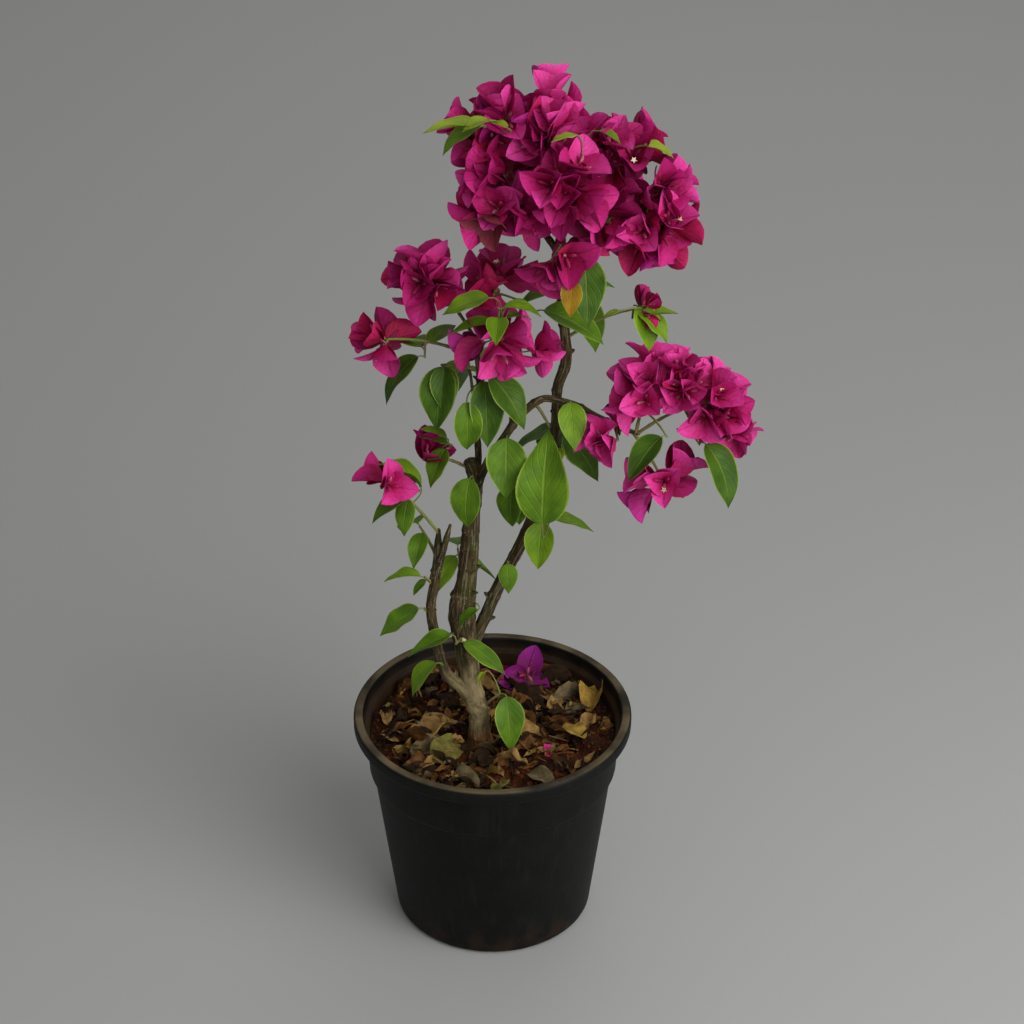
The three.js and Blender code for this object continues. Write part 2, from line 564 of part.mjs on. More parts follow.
function potProfile() {
  const shoulder = COLLAR_RADIUS - SHOULDER_STEP;
  const underLip = POT_HEIGHT - LIP_HEIGHT;
  const lipInside = RIM_RADIUS - LIP_WIDTH;
  return [
    [0, 0], [BASE_RADIUS - FOOT_ROUNDING, 0], [BASE_RADIUS - 1, 1], [BASE_RADIUS, FOOT_ROUNDING],
    [shoulder, SHOULDER_HEIGHT], [COLLAR_RADIUS, SHOULDER_HEIGHT + SHOULDER_STEP],
    [COLLAR_RADIUS + COLLAR_FLARE, underLip], [RIM_RADIUS - 3, underLip], [RIM_RADIUS, underLip + 3],
    [RIM_RADIUS, POT_HEIGHT - 3.5], [RIM_RADIUS - 3, POT_HEIGHT], [lipInside + 2.5, POT_HEIGHT],
    [lipInside, POT_HEIGHT - 2.5], [lipInside, underLip + 3], ...potInside(0), [0, FLOOR],
  ];
}

function potInside(gap) {
  const collar = COLLAR_RADIUS + COLLAR_FLARE - WALL;
  const shoulder = COLLAR_RADIUS - SHOULDER_STEP - WALL;
  return [
    [collar - gap, POT_HEIGHT - LIP_HEIGHT], [COLLAR_RADIUS - WALL - gap, SHOULDER_HEIGHT + SHOULDER_STEP],
    [shoulder - gap, SHOULDER_HEIGHT], [BASE_RADIUS - WALL - gap, FLOOR + gap],
  ];
}

// Soil: it fills the pot to a heap of litter and clods, level under the trunk's foot, with the larger
// dry leaves fused to it
function soilHeight(x, y) {
  const [footX, footY, , footRadius] = LIMBS.trunk.bends[0];
  const away = THREE.MathUtils.smoothstep(Math.hypot(x - footX, y - footY), footRadius + 2, footRadius + 16);
  const swell = HEAP_SWELL * Math.sin(x / 9 + 1) * Math.sin(y / 11);
  const ripple = HEAP_RIPPLE * Math.sin(x / 5.1 + y / 6.3);
  return SOIL_TOP + away * (HEAP + swell + ripple);
}

function soilGeometry() {
  const [collar, step, shoulder, floor] = potInside(2 * GAP);
  const rimRadius = mix(step[0], collar[0], (SOIL_TOP - step[1]) / (collar[1] - step[1]));
  const top = [...SOIL_RINGS, rimRadius].map((r) => [r, SOIL_TOP]);
  const geometry = lathe([...top, step, shoulder, floor, [0, floor[1]]].reverse());
  const places = geometry.attributes.position;
  for (let i = 0; i < places.count; i += 1) {
    const [x, y, z] = [places.getX(i), places.getY(i), places.getZ(i)];
    if (z > SOIL_TOP - 1 && Math.hypot(x, y) < rimRadius - 1) {
      places.setZ(i, soilHeight(x, y));
    }
  }
  return geometry;
}

// Litter: dry leaves strewn from the trunk out to the rim, and one fallen bloom
function litter() {
  const draw = seeded(LITTER_SEED);
  const scattered = Array.from({ length: LITTER_COUNT }, (_, k) => {
    const radius = LITTER_REACH * Math.sqrt((k + 3) / (LITTER_COUNT + 3));
    const turn = radians(GOLDEN * k);
    const place = [radius * Math.cos(turn), radius * Math.sin(turn)];
    return [...place, 360 * draw(), mix(...LITTER_RISES, draw()), mix(...LITTER_LENGTHS, draw())];
  });
  const dry = [...DRY_LEAVES, ...scattered].map(([x, y, heading, rise, length]) => (
    leafBlade(vector(x, y, soilHeight(x, y) - 1), heading, -rise - DRY_LEAF.bend / 2, length, DRY_LEAF)));
  const [x, y] = FALLEN_BLOOM;
  const axis = vector(0.3, -0.6, 0.75).normalize();
  const bloom = bractBlades(vector(x, y, SOIL_TOP + 2), axis, 0.4, BRACT_LENGTH);
  const [trunkX, trunkY, , trunkFoot] = LIMBS.trunk.bends[0];
  const lies = (blade) => blade.spread().every((point) => (
    Math.hypot(point.x, point.y) < LITTER_REACH + WALL + BLADE_ROOM
    && Math.hypot(point.x - trunkX, point.y - trunkY) > trunkFoot + BLADE_ROOM));
  const stalk = (blade) => add(blade.foot, blade.along, -4).setZ(blade.foot.z - 3);
  return [...dry.filter(lies).map((blade) => sprig(stalk(blade), [blade], blade.along)),
    sprig(vector(x, y, SOIL_TOP - 3), bloom, axis)];
}

// The plant in its pot, one named mesh for each sub-part
const plant = new THREE.Group();
const FINISHES = {
  pot: { color: 0x1b1c1a, roughness: 0.6 },
  soil: { color: 0x4a2a18, roughness: 0.95 },
  bark: { color: 0x8a7a66, roughness: 0.85 },
  blossom: { color: 0xb0146e, roughness: 0.6 },
  leaf: { color: 0x4f7a28, roughness: 0.5 },
};

function place(name, solid, finish) {
  const material = new THREE.MeshStandardMaterial({ ...FINISHES[finish], metalness: 0 });
  const mesh = new THREE.Mesh(toGeometry(solid), material);
  mesh.name = name;
  plant.add(mesh);
}

place('pot', fuse([lathe(potProfile())]), 'pot');
place('soil', fuse([soilGeometry(), ...litter()], [limbs.trunk.cutter()]), 'soil');
Object.entries(LIMBS).forEach(([name, { parent }], i) => {
  const earlier = Object.keys(LIMBS).slice(0, i)
    .filter((other) => other === parent || LIMBS[other].parent === parent);
  const cutters = parent ? earlier.map((other) => limbs[other].cutter()) : [];
  place(name, fuse([limbs[name].geometry()], cutters), 'bark');
});
for (const [name, mass] of Object.entries(MASSES)) {
  place(name, growMass(name, mass), mass.blooms ? 'blossom' : 'leaf');
}

export default plant;
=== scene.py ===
"""Potted bougainvillea: a woody shrub with papery bracts, in a round nursery pot of soil and litter.

Limbs, twigs, leaves and blooms grow by the rule of the part's source, written again here and carried
finer. Sizes are millimetres in the part's frame, and become metres where a mesh is made.
"""

import itertools
import math

import bpy
import numpy as np
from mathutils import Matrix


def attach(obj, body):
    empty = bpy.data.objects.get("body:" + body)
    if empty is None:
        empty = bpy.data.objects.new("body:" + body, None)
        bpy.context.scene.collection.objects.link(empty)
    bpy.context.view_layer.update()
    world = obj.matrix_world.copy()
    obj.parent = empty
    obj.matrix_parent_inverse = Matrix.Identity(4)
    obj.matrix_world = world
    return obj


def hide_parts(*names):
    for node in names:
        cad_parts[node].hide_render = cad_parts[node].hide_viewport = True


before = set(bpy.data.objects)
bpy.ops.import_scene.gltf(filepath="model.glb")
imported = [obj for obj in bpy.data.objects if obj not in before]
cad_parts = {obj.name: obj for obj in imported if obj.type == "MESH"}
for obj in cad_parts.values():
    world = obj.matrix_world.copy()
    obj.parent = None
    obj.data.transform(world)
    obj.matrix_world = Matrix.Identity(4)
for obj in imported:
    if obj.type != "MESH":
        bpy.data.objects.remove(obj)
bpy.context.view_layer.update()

# Camera, as the photograph was taken
CAMERA_PLACE = (17.5, -1907.4, 1575.7)
CAMERA_DIP = 31.26
CAMERA_LENS = 91.4
CAMERA_SENSOR = 36

# Driving dimensions of the pot and its soil, as in the part's source
POT_HEIGHT = 210
RIM_RADIUS = 125
LIP_WIDTH = 9
LIP_HEIGHT = 14.5
COLLAR_RADIUS = 112
COLLAR_FLARE = 2.5
SHOULDER_HEIGHT = 151
SHOULDER_STEP = 3.5
BASE_RADIUS = 90
FOOT_ROUNDING = 4
WALL = 3
FLOOR = 4
SOIL_TOP = 182

# Limbs: the parent, then x, y, z and radius at each bend from the foot to the tip
LIMBS = {
    "trunk": (None, [
        (-11, -11, 182.3, 13), (-12, -12, 194, 9.5), (-13, -12, 219, 8.5), (-19, -11, 246, 9),
        (-22, -8, 272, 9.5), (-25, -4, 310, 10.5), (-22, -1, 350, 8.5), (-17, 3, 410, 7.2),
        (-14, 3, 448, 7), (-18, 2, 467, 6.2)]),
    "stem_left": ("trunk", [
        (-15, -13, 224, 6.5), (-27, -16, 245, 5.6), (-41, -18, 263, 4.8), (-49, -20, 299, 4.5),
        (-53, -20, 333, 4.3), (-48, -20, 366, 4.2), (-45, -20, 412, 3.2)]),
    "stem_left_spur": ("stem_left", [
        (-48, -20, 366, 3.4), (-42, -24, 391, 3), (-35, -27, 421, 2.4)]),
    "stem_right": ("trunk", [
        (-21, -4, 278, 6.6), (-7, 4, 305, 5.6), (7, 12, 338, 5.3), (28, 20, 380, 5.1),
        (47, 28, 433, 4.9), (55, 30, 482, 4.7), (56, 28, 523, 4.5), (63, 23, 553, 4.6),
        (60, 18, 595, 4.1), (55, 10, 662, 3.4)]),
    "arch_inner": ("trunk", [
        (-14, 1, 440, 3.7), (-4, -4, 467, 3.6), (7, -7, 489, 3.5), (24, -5, 515, 3.4),
        (42, 2, 527, 3.2)]),
    "arch_outer": ("arch_inner", [
        (42, 2, 527, 3.1), (58, 8, 522, 3.1), (73, 10, 516, 3), (90, 7, 507, 2.8),
        (108, 0, 501, 2.6), (124, -7, 499, 2.4)]),
    "bough_inner": ("trunk", [
        (-14, 4, 446, 3), (-11, 7, 468, 2.9), (-12, 3, 500, 2.7), (-10, 0, 546, 2.5),
        (-13, -6, 590, 2.2)]),
    "bough_top_left": ("stem_right", [
        (55, 10, 659, 2.8), (42, 7, 680, 2.6), (27, 3, 702, 2.2)]),
    "bough_top_middle": ("stem_right", [
        (55, 10, 660, 2.8), (57, 14, 690, 2.5), (54, 14, 716, 2.2)]),
    "bough_top_right": ("stem_right", [
        (56, 11, 656, 2.8), (78, 8, 672, 2.6), (98, 4, 692, 2.2)]),
}

# Masses of blossom and leaves: the limb and its share where the stem leaves, and the stem's tip; then the
# reach, number of blooms, seed and size of a cluster; then a twig's leaves as how many, the first's heading,
# the turn to the next, the droop and the length, each for all or from the first to the last, and its own tip
GOLDEN = 137.5
MASS_ROWS = {
    "head_top_left": ("bough_top_left", 0.97, (0, 12, 760), (50, 9, 3),
        (2, 190, 9, (-3, 10), (44, 38), (-4, -20, 782))),
    "head_top": ("bough_top_middle", 0.98, (50, 18, 770), (51, 9, 10)),
    "head_top_right": ("bough_top_right", 0.98, (104, 16, 738), (52, 10, 5)),
    "head_right": ("bough_top_right", 0.9, (127, -7, 691), (51, 11, 21)),
    "head_front": ("bough_top_middle", 0.85, (58, -30, 736), (52, 14, 13)),
    "head_left": ("bough_top_left", 0.85, (10, -16, 713), (50, 9, 34)),
    "head_bottom": ("stem_right", 0.955, (56, -26, 682), (46, 7, 2), (1, 276, 0, 56, 58, (76, -20, 671))),
    "head_back": ("bough_top_middle", 0.75, (42, 50, 726), (50, 8, 55)),
    "head_back_right": ("bough_top_right", 0.7, (108, 44, 698), (48, 7, 89)),
    "middle_left": ("bough_inner", 0.99, (-50, -2, 641), (43, 11, 17)),
    "middle_back": ("bough_inner", 0.93, (8, 16, 632), (42, 8, 20), (1, 341, 0, 9, 57, (38, -8, 614))),
    "middle_front": ("bough_inner", 0.97, (6, -33, 602), (44, 7, 23),
        (5, 352, GOLDEN, (-11, 8), (32, 38), (7, -49, 638))),
    "middle_far_left": ("bough_inner", 0.88, (-84, -18, 594), (38, 4, 29),
        (3, 205, -83, (26, -30), (50, 30), (-54, -19, 577))),
    "right_middle": ("arch_outer", 0.97, (130, -4, 538), (48, 8, 31), (1, 216, 0, 32, 46, (145, -48, 519))),
    "right_outer": ("arch_outer", 0.99, (180, -4, 528), (50, 8, 37),
        (2, 320, 120, (38, 20), (61, 40), (174, -20, 496))),
    "right_low": ("arch_outer", 0.93, (145, -20, 460), (46, 5, 41)),
    "right_inner": ("arch_outer", 0.75, (106, -20, 500), (30, 2, 43, 0.85)),
    "buds_right": ("stem_right", 0.84, (122, -2, 614), (26, 3, 47, 0.6),
        (3, 356, -24, (-13, 40), (34, 40), (116, -5, 606))),
    "low_left": ("stem_left", 0.99, (-88, -26, 462), (34, 2, 53),
        (3, 150, 50, (-20, 46), (48, 34), (-60, -21, 452))),
    "low_middle": ("trunk", 0.93, (-51, -10, 479), (29, 1, 59, 0.85),
        (2, 168, 63, (-19, 38), (27, 36), (-33, -15, 493))),
    "leaves_low_left": ("stem_left", 0.62, (-59, -23, 334), (), (1, 196, 0, 24, 42)),
    "leaves_low_front": ("trunk", 0.5, (-31, -35, 305), (), (2, 199, GOLDEN, (12, 20), (42, 47))),
    "leaves_foot_left": ("stem_left", 0.36, (-45, -27, 279), (), (1, 201, 0, 30, 39)),
    "leaves_foot_right": ("trunk", 0.2, (7, -15, 238), (), (1, 283, 0, 64, 52)),
    "leaves_left": ("stem_left", 0.78, (-58, -24, 367), (), (2, 177, 25, (-5, 30), (33, 18))),
    "leaf_trunk_front": ("trunk", 0.85, (-16, -13, 461), (), (1, 247, 0, 57, 48)),
    "leaves_inner_left": ("bough_inner", 0.8, (-41, -14, 568), (), (2, 279, -30, (58, 57), (40, 55))),
    "leaves_inner_right": ("bough_inner", 0.6, (-6, -13, 558), (), (2, 327, -47, (32, 58), (54, 57))),
    "leaf_arch": ("arch_inner", 0.55, (14, -9, 498), (), (1, 268, 0, 54, 52)),
    "leaf_arch_bend": ("arch_inner", 0.93, (49, -12, 508), (), (1, 261, 0, 58, 82)),
    "leaf_arch_end": ("arch_outer", 0.22, (66, -3, 528), (), (1, 277, 0, 42, 42)),
    "leaves_right": ("stem_right", 0.36, (50, 14, 401), (), (2, 3, -106, (16, 52), (38, 43))),
    "leaves_right_inner": ("stem_right", 0.42, (20, 3, 444), (), (2, 246, 24, (63, 66), (42, 38))),
    "leaf_right_foot": ("stem_right", 0.23, (14, 5, 364), (), (1, 273, 0, 48, 27)),
    "leaves_back_left": ("stem_left", 0.9, (-62, 2, 402), (), (2, 118, GOLDEN, (20, 30), (40, 34))),
    "leaves_back_low": ("trunk", 0.62, (-30, 24, 366), (), (3, 92, GOLDEN, (16, 34), (42, 36))),
    "leaves_back_inner": ("bough_inner", 0.5, (-20, 26, 556), (), (4, 70, GOLDEN, (10, 40), (40, 50))),
    "leaves_back_right": ("stem_right", 0.5, (62, 54, 476), (), (4, 48, GOLDEN, (12, 44), (42, 56))),
    "leaves_back_top": ("stem_right", 0.8, (68, 56, 606), (), (4, 30, GOLDEN, (8, 40), (40, 54))),
}
CLUSTER_KEYS = ("reach", "blooms", "seed", "size")
TWIG_KEYS = ("leaves", "heading", "turn", "droop", "length", "tip")

# Sizes of one leaf, one bloom and the twigs, as in the part's source
LEAF = dict(width_share=0.56, thickness=0.6, bend=26, fold=18, rise=0.62, fall=1.1)
BRACT = dict(width_share=0.82, thickness=0.35, bend=30, fold=8, rise=0.5, fall=0.7)
DRY_LEAF = dict(LEAF, width_share=0.5, bend=34, fold=26)
LEAF_STEP = 5
PETIOLE_SHARE = 0.12
PETIOLE_RISE = 0.3
BRACTS = 3
BRACT_LENGTH = 33
BRACT_FLARE = 42
CORE = 26
BLOOM_SPACING = 20
BLOOM_DEPTH = (0.15, 1)
BLOOM_SIZES = (0.86, 1.14)
BLOOM_TILT = 0.8
TILT_MIDDLE = np.array([0.5, 0.5, 0.2])
BLOOM_TRIES = 2500
STEM_RADIUS = 1.6
TWIG_RADIUS = 1
STEM_STOPS = 12
STEM_RISE = 0.14
WOOD_STOPS = 8
CLEARANCE = 0.8
BLOOM_GAP = 1.5
STALK_LEAST = 5
THIN_CLEARANCE = 2.5
LEAF_CLEARANCE = 4.5
SPREAD_SHARES = np.array([0.15, 0.3, 0.45, 0.6, 0.75, 0.88, 1])
SPREAD_WIDTHS = np.array([-1, -0.5, 0, 0.5, 1])
STALK_SHARES = np.array([0.4, 0.6, 0.8])
DRAWS = 8

# Dry leaves on the soil: x, y, heading, rise and length of the ones that stand out
DRY_LEAVES = [(-38, 12, 232, 4, 50), (88, 26, 70, 14, 40), (-48, -56, 66, 6, 48), (0, -88, 48, 10, 26)]
LITTER_COUNT = 18
LITTER_SEED = 7
LITTER_REACH = 98
LITTER_RISES = (-2, 12)
LITTER_LENGTHS = (24, 42)
HEAP = 4.6
HEAP_SWELL = 2.8
HEAP_RIPPLE = 1.6
FALLEN_BLOOM = (30, 76)

# Finer growth, within the same reach: blooms that fill the room between the clusters of one head, as the
# middle and the reach of the balls to fill, the number of blooms and their sizes
FILL_TRIES = 4000
FILL_SPACING = 15
FILL_STALK = 42
FILL_CROWD = 0.4
FILL_LIFT = 12
FILL_TILT_MIDDLE = np.array([0.5, 0.5, 0.3])
FILLS = dict(
    head=([(12, 6, 778, 37), (48, -2, 768, 40), (96, 0, 754, 42), (114, -2, 706, 44), (62, -24, 732, 46),
           (38, -14, 706, 36), (92, -14, 698, 38), (4, -8, 736, 34), (138, -4, 722, 32),
           (122, -12, 674, 30)], 66, (0.7, 0.98)),
    middle=([(-52, -4, 638, 34), (-12, -6, 628, 34), (38, -26, 590, 29)], 6, (0.7, 0.9)),
    right=([(158, -4, 546, 38), (192, -4, 522, 36), (206, -6, 500, 27), (92, -16, 499, 28)], 30,
           (0.6, 0.84)),
    low=([(-56, -14, 480, 30)], 1, (0.7, 0.9)))

# Leaves too small for the part's source: x, y, z of the foot, heading, droop, length and finish
SMALL_LEAVES = [
    (0, -26, 789, 200, -8, 24, "young"), (14, -24, 782, 150, -20, 20, "young"),
    (67, -30, 779, 215, -12, 24, "young"), (86, -20, 778, 330, 6, 20, "light"),
    (121, -10, 761, 350, 2, 26, "young"), (66, -52, 664, 258, 56, 30, "yellow"),
    (60, 24, 468, 255, 58, 13, "young"), (-7, -16, 262, 240, 20, 12, "young"),
    (20, -44, 641, 20, 5, 18, "light"), (104, -30, 626, 190, 10, 14, "young"),
    (-12, -18, 329, 199, 20, 26, "mid"), (-20, -30, 542, 278, 62, 47, "mid"),
    (-37, -16, 500, 183, -30, 25, "light"), (-60, -10, 449, 184, -54, 45, "light"),
    (-1, -46, 646, 188, 8, 40, "light"),
]

UP = np.array([0.0, 0.0, 1.0])


# Small sums


def span(vectors):
    """Lengths of vectors of any number of axes."""
    return np.linalg.norm(vectors, axis=-1)


def unit(vectors):
    """Vectors of any number of axes, each at length one."""
    return vectors / np.linalg.norm(vectors, axis=-1, keepdims=True)


def mix(low, high, share):
    """The value that lies at a share of the way from low to high."""
    return low + (high - low) * share


def smoothstep(values, low, high):
    """Zero below low, one above high, and 3t^2 - 2t^3 between."""
    share = np.clip((values - low) / (high - low), 0, 1)
    return share * share * (3 - 2 * share)


def turns(count):
    """Even angles once round, in radians."""
    return 2 * math.pi * np.arange(count) / count


def polar(away, turn, height):
    """Points that far away from the upright axis, at that turn round it and that height."""
    return np.stack(np.broadcast_arrays(away * np.cos(turn), away * np.sin(turn), height), axis=-1)


def run(paths):
    """The way gone along paths at each of their points."""
    steps = span(np.diff(paths, axis=-2)).cumsum(axis=-1)
    return np.concatenate([0 * steps[..., :1], steps], axis=-1)


def resample(points, places, wanted):
    """Points of a path at wanted places, read between the places of those it has."""
    return np.stack([np.interp(wanted, places, axis) for axis in np.asarray(points).T], axis=1)


def nearest(places, point):
    """The place that lies nearest to a point."""
    return places[np.argmin(span(places - point))]


def stream(seed):
    """Even numbers from 0 to 1: state = state * 1664525 + 1013904223 modulo 2^32, over 2^32."""
    state = seed * 2654435761 % 2**32
    while True:
        state = (state * 1664525 + 1013904223) % 2**32
        yield state / 2**32


def draws(seed, rows, columns):
    """The first numbers of a seeded stream, as a table."""
    return np.fromiter(stream(seed), float, rows * columns).reshape(rows, columns)


def noise(points, size, seed=0):
    """Value noise from -1 to 1: a hashed number at each corner of a grid of that size, smoothly blended."""
    places = np.asarray(points, float) / size
    cells = np.floor(places)
    within = places - cells
    within = within * within * (3 - 2 * within)
    cells = cells.astype(np.int64)
    total = np.zeros(places.shape[:-1])
    for corner in itertools.product((0, 1), repeat=3):
        x, y, z = np.moveaxis(cells + corner, -1, 0)
        mark = (x * 374761393 + y * 668265263 + z * 974711 + seed * 144269) & 0xFFFFFFFF
        mark = ((mark ^ (mark >> 13)) * 1274126177) & 0xFFFFFFFF
        mark = mark ^ (mark >> 16)
        weight = np.prod(np.where(corner, within, 1 - within), axis=-1)
        total += weight * (mark / 2**31 - 1)
    return total


def relief(points, grains, seed):
    """Value noises added up: for each its size and its depth, and a seed that goes up by one."""
    return sum(noise(points, size, seed + k) * depth for k, (size, depth) in enumerate(grains))


# Growth, by the rule of the part's source


class Limb:
    """A Catmull-Rom curve through the bends, with the radius running evenly from bend to bend."""

    def __init__(self, bends):
        self.bends = np.array(bends, float)
        knots = self.bends[:, :3]
        self.last = len(knots) - 1
        self.knots = np.vstack([2 * knots[0] - knots[1], knots, 2 * knots[-1] - knots[-2]])

    def at(self, shares):
        """Points and radii at shares of the limb."""
        reach = np.asarray(shares, float) * self.last
        bend = np.minimum(reach.astype(int), self.last - 1)
        rest = reach - bend
        before, here, ahead, after = (self.knots[bend + step] for step in range(4))
        leave, arrive = (ahead - before) / 2, (after - here) / 2
        t = rest[..., None]
        points = (here + leave * t + (3 * (ahead - here) - 2 * leave - arrive) * t**2
                  + (2 * (here - ahead) + leave + arrive) * t**3)
        return points, mix(self.bends[bend, 3], self.bends[bend + 1, 3], rest)

    def stops(self, per_bend):
        """Points and radii at even steps."""
        count = self.last * per_bend
        return self.at(np.arange(count + 1) / count)


def bezier(foot, crown, tip, shares):
    """A quadratic curve that starts towards crown and ends at tip."""
    t = np.asarray(shares, float)[:, None]
    return (1 - t) ** 2 * foot + 2 * t * (1 - t) * crown + t**2 * tip


def risen(foot, tip, stops):
    """A curve at even shares that rises a little above the straight line from foot to tip."""
    crown = (foot + tip) / 2 + UP * STEM_RISE * span(tip - foot)
    return bezier(foot, crown, tip, np.arange(stops + 1) / stops)


def half_width(kind, length, u):
    """Half a blade's width: length * width_share / 2 at its widest, following u^rise (1 - u)^fall."""
    rise, fall = kind["rise"], kind["fall"]
    widest = rise / (rise + fall)
    top = widest**rise * (1 - widest) ** fall
    return length * kind["width_share"] / 2 / top * u**rise * np.clip(1 - u, 0, 1) ** fall


def arc(foot, along, face, radius, turn):
    """Points of a midrib of that radius, bent away from the face by each turn, and the ways up there."""
    up = face * np.cos(turn)[..., None] + along * np.sin(turn)[..., None]
    ahead, behind = radius * np.sin(turn), radius * (np.cos(turn) - 1)
    return foot + along * ahead[..., None] + face * behind[..., None], up


def blade_points(blades, kind, u, v):
    """Points of blades at shares u of their length and v of their half width. The midrib is an arc that
    bends away from the face, and both halves fold up along it."""
    foot, along, face, length = (np.asarray(part)[:, None] for part in blades)
    bend, fold = math.radians(kind["bend"]), math.radians(kind["fold"])
    middle, up = arc(foot, along, face, length / bend, bend * u)
    half = half_width(kind, length, u)
    edge = middle + np.cross(face, along) * (v * half * math.cos(fold))[..., None]
    return edge + up * (np.abs(v) * half * math.sin(fold))[..., None]


def spread(blades, kind):
    """The points that test what room blades take."""
    u, v = (grid.ravel() for grid in np.meshgrid(SPREAD_SHARES, SPREAD_WIDTHS, indexing="ij"))
    return blade_points(blades, kind, u, v)


def leaf_frame(heading, droop):
    """The way along a leaf and the way its face looks."""
    turn, dip = math.radians(heading), math.radians(droop)
    along = np.array([math.cos(dip) * math.cos(turn), math.cos(dip) * math.sin(turn), -math.sin(dip)])
    side = np.array([-math.sin(turn), math.cos(turn), 0])
    return along, np.cross(along, side)


def bract_frames(axes, spins, flare):
    """The ways along and the ways up of the bracts round each bloom's axis. The flare is one for all, or one
    for each bloom."""
    level = np.where(np.abs(axes[:, 2:]) < 0.95, UP, np.array([1.0, 0, 0]))
    side = unit(np.cross(level, axes))
    across = np.cross(axes, side)
    angle = (spins[:, None] + turns(BRACTS))[..., None]
    outward = side[:, None] * np.cos(angle) + across[:, None] * np.sin(angle)
    flare = np.broadcast_to(np.radians(flare), spins.shape)[:, None, None]
    along = axes[:, None] * np.cos(flare) + outward * np.sin(flare)
    return along, axes[:, None] * np.sin(flare) - outward * np.cos(flare)


def distances(points, places):
    """Every distance from points to places."""
    return span(points[..., :, None, :] - places)


def power(points, ball):
    """Below zero inside a ball: distance squared less reach squared."""
    return np.sum((points - ball["centre"]) ** 2, axis=-1) - ball["reach"] ** 2


def clear_of_balls(points, name):
    """Whether all of each set of points is clear of the balls of other masses: it lies outside each of them,
    or on its own ball's side of the plane where the powers of both are equal."""
    own = balls.get(name)
    clear = np.ones(points.shape[:-2], bool)
    for other, ball in balls.items():
        if other != name:
            excess = power(points, ball)
            free = excess > 2 * CLEARANCE * ball["reach"]
            if own:
                room = 2 * CLEARANCE * span(own["centre"] - ball["centre"])
                free |= excess - power(points, own) > room
            clear &= free.all(-1)
    return clear


def clear_of_wood(points, name=None):
    """Whether all of each set of points is clear of the limbs and of other masses' stems."""
    others = [(stems[other], STEM_RADII) for other in stems if other != name]
    places = np.vstack([path for path, _ in wood + others])
    radii = np.concatenate([radii for _, radii in wood + others])
    return np.array([(distances(group, places) > radii + THIN_CLEARANCE).all() for group in points], bool)


def sprigs():
    """Twigs with leaves: the mass, the twig's row, its end and foot, and the way back along it. A twig
    leaves its mass's stem at the nearest point, or is the stem's own end."""
    for name, mass in MASSES.items():
        twig = mass["twig"]
        if twig:
            end = np.array(twig.get("tip", mass["tip"]), float)
            foot = nearest(stems[name], end) if "tip" in twig else None
            start = stems[name][STEM_STOPS // 2] if foot is None else foot
            yield name, twig, end, foot, unit(start - end)


def between(limits, share):
    """The value at a share of the way between two limits, or the one value for all."""
    return mix(*limits, share) if isinstance(limits, tuple) else limits


def grow_leaves():
    """Leaves of every mass: the first at its twig's end, the others further back and turned about it.
    A leaf with no room is skipped."""
    grown = []
    for name, twig, end, _, back in sprigs():
        for k in range(twig["leaves"]):
            share = k / max(twig["leaves"] - 1, 1)
            heading = twig["heading"] + k * twig["turn"]
            length = between(twig["length"], share)
            joint = end + back * (k * LEAF_STEP + 1)
            foot = joint + polar(1, math.radians(heading), PETIOLE_RISE) * PETIOLE_SHARE * length
            along, face = leaf_frame(heading, between(twig["droop"], share))
            points = spread((foot[None], along[None], face[None], np.array([length])), LEAF)
            others = [leaf["points"] for leaf in grown if leaf["name"] != name]
            near = others and (distances(points[0], np.vstack(others)) <= LEAF_CLEARANCE).any()
            if clear_of_balls(points, name)[0] and clear_of_wood(points, name)[0] and not near:
                grown.append(dict(name=name, joint=joint, foot=foot, along=along, face=face, length=length,
                                  points=points[0]))
    return grown


def outwards(table):
    """Ways out that are even over a ball, from the first two draws of each row."""
    height = 2 * table[:, 0] - 1
    return polar(np.sqrt(1 - height**2), 2 * math.pi * table[:, 1], height)


def grow_blooms(name, mass):
    """Blooms of one mass: thrown at its ball facing outwards, and kept where they find room."""
    size = mass.get("size", 1)
    table = draws(mass["seed"], BLOOM_TRIES, DRAWS)
    outward = outwards(table)
    away = (mass["reach"] - CORE * size) * mix(*BLOOM_DEPTH, table[:, 2])
    foot = np.array(mass["tip"], float) + outward * away[:, None]
    axes = unit(outward + BLOOM_TILT * (table[:, 3:6] - TILT_MIDDLE))
    spins = 2 * math.pi * table[:, 6]
    length = BRACT_LENGTH * size * mix(*BLOOM_SIZES, table[:, 7])
    ways = [part.reshape(-1, 3) for part in bract_frames(axes, spins, BRACT_FLARE)]
    blades = (np.repeat(foot, BRACTS, 0), *ways, np.repeat(length, BRACTS))
    points = spread(blades, BRACT).reshape(BLOOM_TRIES, -1, 3)
    fits = (power(points, balls[name]) < 0).all(-1)
    fits[fits] = clear_of_balls(points[fits], name)
    kept, joints = [], list(stems[name][STEM_STOPS // 2:])
    for i in np.flatnonzero(fits):
        if len(kept) == mass["blooms"]:
            break
        heart = foot[i] + axes[i] * length[i] / 2
        joint = min(joints, key=lambda place: span(place - foot[i]))
        stalk = foot[i] - joint
        middle = joint + stalk * STALK_SHARES[:, None]
        whole = np.vstack([points[i], middle])
        if span(stalk) <= STALK_LEAST or stalk @ axes[i] <= 0:
            continue
        if any(span(bloom["heart"] - heart) <= BLOOM_SPACING * size for bloom in kept):
            continue
        if any((distances(bloom["points"], whole) <= BLOOM_GAP).any() for bloom in kept):
            continue
        if (power(middle, balls[name]) >= 0).any() or not clear_of_balls(middle[None], name)[0]:
            continue
        if clear_of_wood(whole[None], name)[0]:
            kept.append(dict(joint=joint, foot=foot[i], axis=axes[i], spin=spins[i], length=length[i],
                             heart=heart, points=whole, middle=joint + stalk / 2))
            joints.append(joint + stalk / 2)
    return kept


